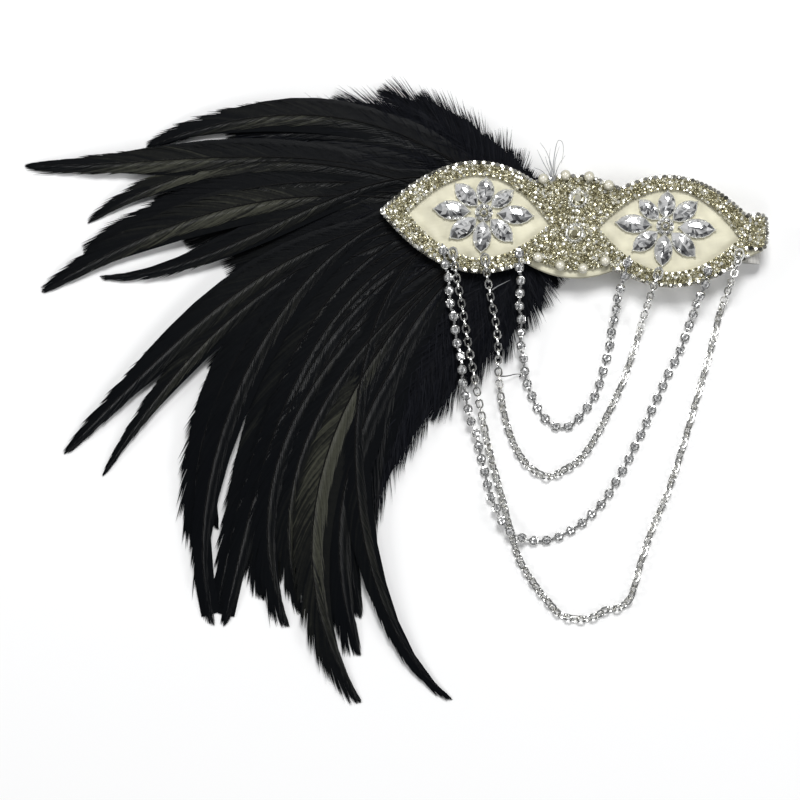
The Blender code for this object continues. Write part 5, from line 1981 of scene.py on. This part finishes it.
    @staticmethod
    def spread(way: np.ndarray, angle: np.ndarray, side: float) -> np.ndarray:
        """Return each barb's way on the plane, turned from the quill's towards one side."""
        across = np.column_stack([-way[:, 1], way[:, 0]]) * side
        return way * np.cos(angle)[:, None] + across * np.sin(angle)[:, None]

    @staticmethod
    def up(side: float, count: int) -> np.ndarray:
        """Return a row for each barb that says which of its faces lies up."""
        return np.tile((0.0, 0.0, side), (count, 1)).astype(float)

    def lock(self, hairs: Hairs, blade: Blade, passes: int = 2) -> None:
        """Gather the hairs of one lock of down.

        Args:
            hairs: where they go.
            blade: the lock.
            passes: how many layers it has.
        """
        chord = blade.reach * self.lock_reach
        for level in range(passes):
            count = int(max(chord, 0.045) / self.hair_step)
            shares = np.linspace(0.04, 0.97, count)
            place, way = self.route(blade, self.lock_reach, shares)
            z = self.height(blade, shares, self.lock_root_z + 0.0018 * level, 0.0030)
            half = read_profile(shares, self.lock_profile) * self.lock_width * blade.width / 2
            for side in (-1.0, 1.0):
                angle = read_profile(shares, self.lock_angles) + 12.0 * self.clumps(count, 7.0)
                angle = np.radians(np.clip(angle + self.rng.normal(0.0, 5.0, count), 3.0, 80.0))
                reach = np.clip(half / np.sin(np.maximum(angle, 0.35)), 0.008, 0.026)
                reach = reach * self.rng.uniform(0.6, 1.12, count)
                reach = np.minimum(reach, (1.0 - shares) * chord + self.lock_end)
                rise = self.rng.normal(-0.03 + 0.05 * level, 0.07, count)
                rise = np.clip(rise, (0.0006 - z) / reach, (0.0125 - z) / reach)
                hairs.add(place=np.column_stack([place, z]), reach=reach,
                          way=np.column_stack([self.spread(way, angle, side), rise]),
                          face=self.up(side, count),
                          girth=self.hair_girth * self.rng.uniform(0.7, 1.5, count),
                          tone=self.rng.uniform(0.0, 0.9, count))

    def core(self, pile: Pile, blade: Blade, reach: float, width: float, root_z: float, arch: float,
             finish: Finish) -> None:
        """Add the thin closed web under a feather's or lock's barbs.

        Args:
            pile: where it goes.
            blade: the feather or lock.
            reach: length that the blade's reach is a share of.
            width: width that the blade's width is a share of.
            root_z: height of its root.
            arch: how far its middle stands up.
            finish: what it is made of.
        """
        shares = np.linspace(0.05, 0.995 if blade.cut else 0.97, 15)
        place, way = self.route(blade, reach, shares)
        z = self.height(blade, shares, root_z, arch)
        table = tuple((share, max(value, blade.cut) if share > 0.9 else value)
                      for share, value in self.web_profile)
        half = read_profile(shares, table) * width * blade.width / 2
        rings = []
        for (x, y), (a, b), top, w in zip(place, way, z, half):
            h = top - 0.0004
            rings.append([(x - b * w, y + a * w, h - w * 0.05), (x, y, h + 0.0001),
                          (x + b * w, y - a * w, h - w * 0.05), (x, y, h - 0.0003)])
        points, faces = loft(rings)
        pile.add(points, faces, finish, [blade.tone * 0.6] * len(faces))

    def quill(self, pile: Pile, blade: Blade) -> None:
        """Add a feather's shaft.

        Args:
            pile: where it goes.
            blade: the feather.
        """
        shares = np.linspace(0.03, 0.95 if blade.cut else 0.985, 22)
        place, way = self.route(blade, self.feather_reach, shares)
        z = self.height(blade, shares, self.feather_root_z, self.feather_arch) + 0.0002
        rings = []
        for (x, y), (a, b), h, share in zip(place, way, z, shares):
            radius = self.quill_root * (1.0 - share) ** 0.7 + self.quill_tip
            rings.append([(x - b * u, y + a * u, h + 0.8 * v) for u, v, _ in circle(radius, 0.0, 5)])
        pile.add(*loft(rings), QUILL)

    def barb(self, stones: SmallStones, name: str, bow: float) -> bpy.types.Object:
        """Make one barb along X, one unit long and wide, bowed towards the feather's tip.

        Args:
            stones: maker of prototypes.
            name: its name.
            bow: how far its end bows.

        Returns:
            The prototype.
        """
        rings = []
        for x, w in ((0.0, 0.42), (0.38, 0.50), (0.74, 0.32)):
            y = -bow * x * x
            rings.append([(x, y - w, 0.0), (x, y + w, 0.0), (x, y, 0.16)])
        points, faces = loft(rings)
        faces = faces[:-1]
        tip = len(points)
        points.append((1.0, -bow, 0.0))
        last = tip - 3
        faces += [(last, last + 1, tip), (last + 1, last + 2, tip), (last + 2, last, tip)]
        return stones.store(name, Pile.of(points, faces, VANE), 70.0)

    def bed(self) -> bpy.types.Object:
        """Return the matted base of down that fills the fan's middle."""
        rings = []
        for share, z in self.bed_levels:
            ring = []
            for i in range(self.bed_sides):
                bearing = 360.0 * i / self.bed_sides
                reach = float(read_profile(bearing, self.bed_profile)) * self.bed_reach * share
                reach *= 1 + 0.05 * math.sin(i * 2.4)
                ring.append((self.root[0] + reach * math.cos(math.radians(bearing)),
                             self.root[1] + reach * math.sin(math.radians(bearing)), z * MM))
            rings.append(ring)
        return Pile.of(*loft(rings), DOWN).build("down_bed", 60.0)

    def build(self, stones: SmallStones, tree: PatternTree) -> None:
        """Replace the plume with its feathers and down.

        Args:
            stones: maker of prototypes.
            tree: the tree that grows a barb from each point.
        """
        barb = self.barb(stones, "barb", 3.7)
        hair = self.barb(stones, "hair", 4.5)
        for name, blades, nodes in (("feather_vanes", FEATHERS, ("plume",)), ("under_feathers", FILLERS, ())):
            vanes = Hairs()
            for blade in blades:
                self.vane(vanes, blade)
            keep(vanes.grow(name, barb, tree, VANE), "feather", *nodes)
        webs = Pile()
        for blade in FEATHERS + FILLERS:
            self.core(webs, blade, self.feather_reach, self.feather_width * self.web_share,
                      self.feather_root_z, self.feather_arch, VANE)
            self.quill(webs, blade)
        for blade in LOCKS:
            self.core(webs, blade, self.lock_reach, self.lock_width * self.lock_web_share, self.lock_root_z,
                      self.lock_web_arch, DOWN)
        keep(webs.build("feather_webs", 60.0), "feather")
        for name, blades in (("down", LOCKS), ("cover_down", COVER_LOCKS)):
            down = Hairs()
            for blade in blades:
                self.lock(down, blade)
            keep(down.grow(name, hair, tree, DOWN), "feather")
        keep(self.bed(), "feather")


@dataclass
class Strays:
    """Thin pale strands that stand out of the centre's upper edge, and stray barbs."""

    strand_radius: float = 0.00030
    barb_radius: float = 0.00039
    step: float = 0.0012
    taper: float = 0.7
    strands: tuple = (
        ((551, 182, 18.6), (549, 174, 18.8), (543, 163, 18.0), (537, 150, 16.5)),
        ((551, 182, 18.6), (550, 172, 19.0), (547, 164, 18.6), (545, 157, 17.6)),
        ((552, 182, 18.6), (551, 170, 19.2), (549, 160, 18.8), (550, 149, 17.5)),
        ((553, 182, 18.6), (554, 172, 19.2), (555, 160, 19.0), (559, 147, 18.0)),
        ((554, 182, 18.6), (556, 172, 19.0), (560, 163, 18.6), (565, 156, 17.5)),
        ((553, 182, 18.6), (553, 166, 19.4), (555, 150, 19.0), (558, 141, 18.6), (562, 143, 18.6),
         (563, 152, 18.8), (561, 164, 18.8)),
        ((550, 182, 18.6), (546, 176, 18.6), (541, 171, 17.6), (534, 168, 16.2)),
        ((552, 182, 18.6), (553, 175, 19.0), (551, 166, 19.0), (546, 152, 17.6), (540, 143, 16.0)),
    )
    light_barbs: tuple = (((492, 290, 13.4), (498, 286, 13.8), (504, 283, 13.6), (510, 280, 13.2)),)
    dark_barbs: tuple = (
        ((497, 376, 7.0), (507, 376, 5.0), (517, 374, 2.4), (527, 375, 0.7)),
        ((520, 377, 1.4), (524, 372, 0.9), (528, 371, 0.6)),
    )

    def wire(self, pile: Pile, points: tuple, radius: float, finish: Finish) -> None:
        """Add a thin tapered strand.

        Args:
            pile: where it goes.
            points: its course, each by pixel and height in millimetres.
            radius: at its root.
            finish: what it is made of.
        """
        placed = tuple((*(part / MM for part in from_photo(x, y)), z) for x, y, z in points)
        route = smooth_route(placed, self.step)
        rings = []
        for i, place in enumerate(route):
            way = Vector(route[min(i + 1, len(route) - 1)] - route[max(i - 1, 0)]).normalized()
            side = way.cross(Vector((0, 0, 1))).normalized()
            up = side.cross(way)
            size = radius * (1.0 - self.taper * i / (len(route) - 1))
            rings.append([tuple(Vector(place) + side * u + up * v) for u, v, _ in circle(size, 0.0, 4)])
        pile.add(*loft(rings), finish)

    def build(self) -> None:
        """Make the strands and the stray barbs."""
        pile = Pile()
        for points in self.strands + self.light_barbs:
            self.wire(pile, points, self.strand_radius, STRAND)
        for points in self.dark_barbs:
            self.wire(pile, points, self.barb_radius, QUILL)
        keep(pile.build("stray_strands", 60.0), "feather")


def main() -> None:
    """Dress the headband, piece by piece."""
    logging.basicConfig(level=logging.INFO, format="%(name)s: %(message)s")
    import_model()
    Studio().build()
    stones = SmallStones()
    along, scatter, barbs = items_along_path(), stones_over_surface(), barbs_on_points()
    Strap().build()
    Panel().build()
    Crust().build(stones, scatter, along)
    Crystals().build()
    Pearls().build()
    Chains().build(stones, along)
    Plume().build(stones, barbs)
    Strays().build()
    stones.clear()


if __name__ == "__main__":
    main()
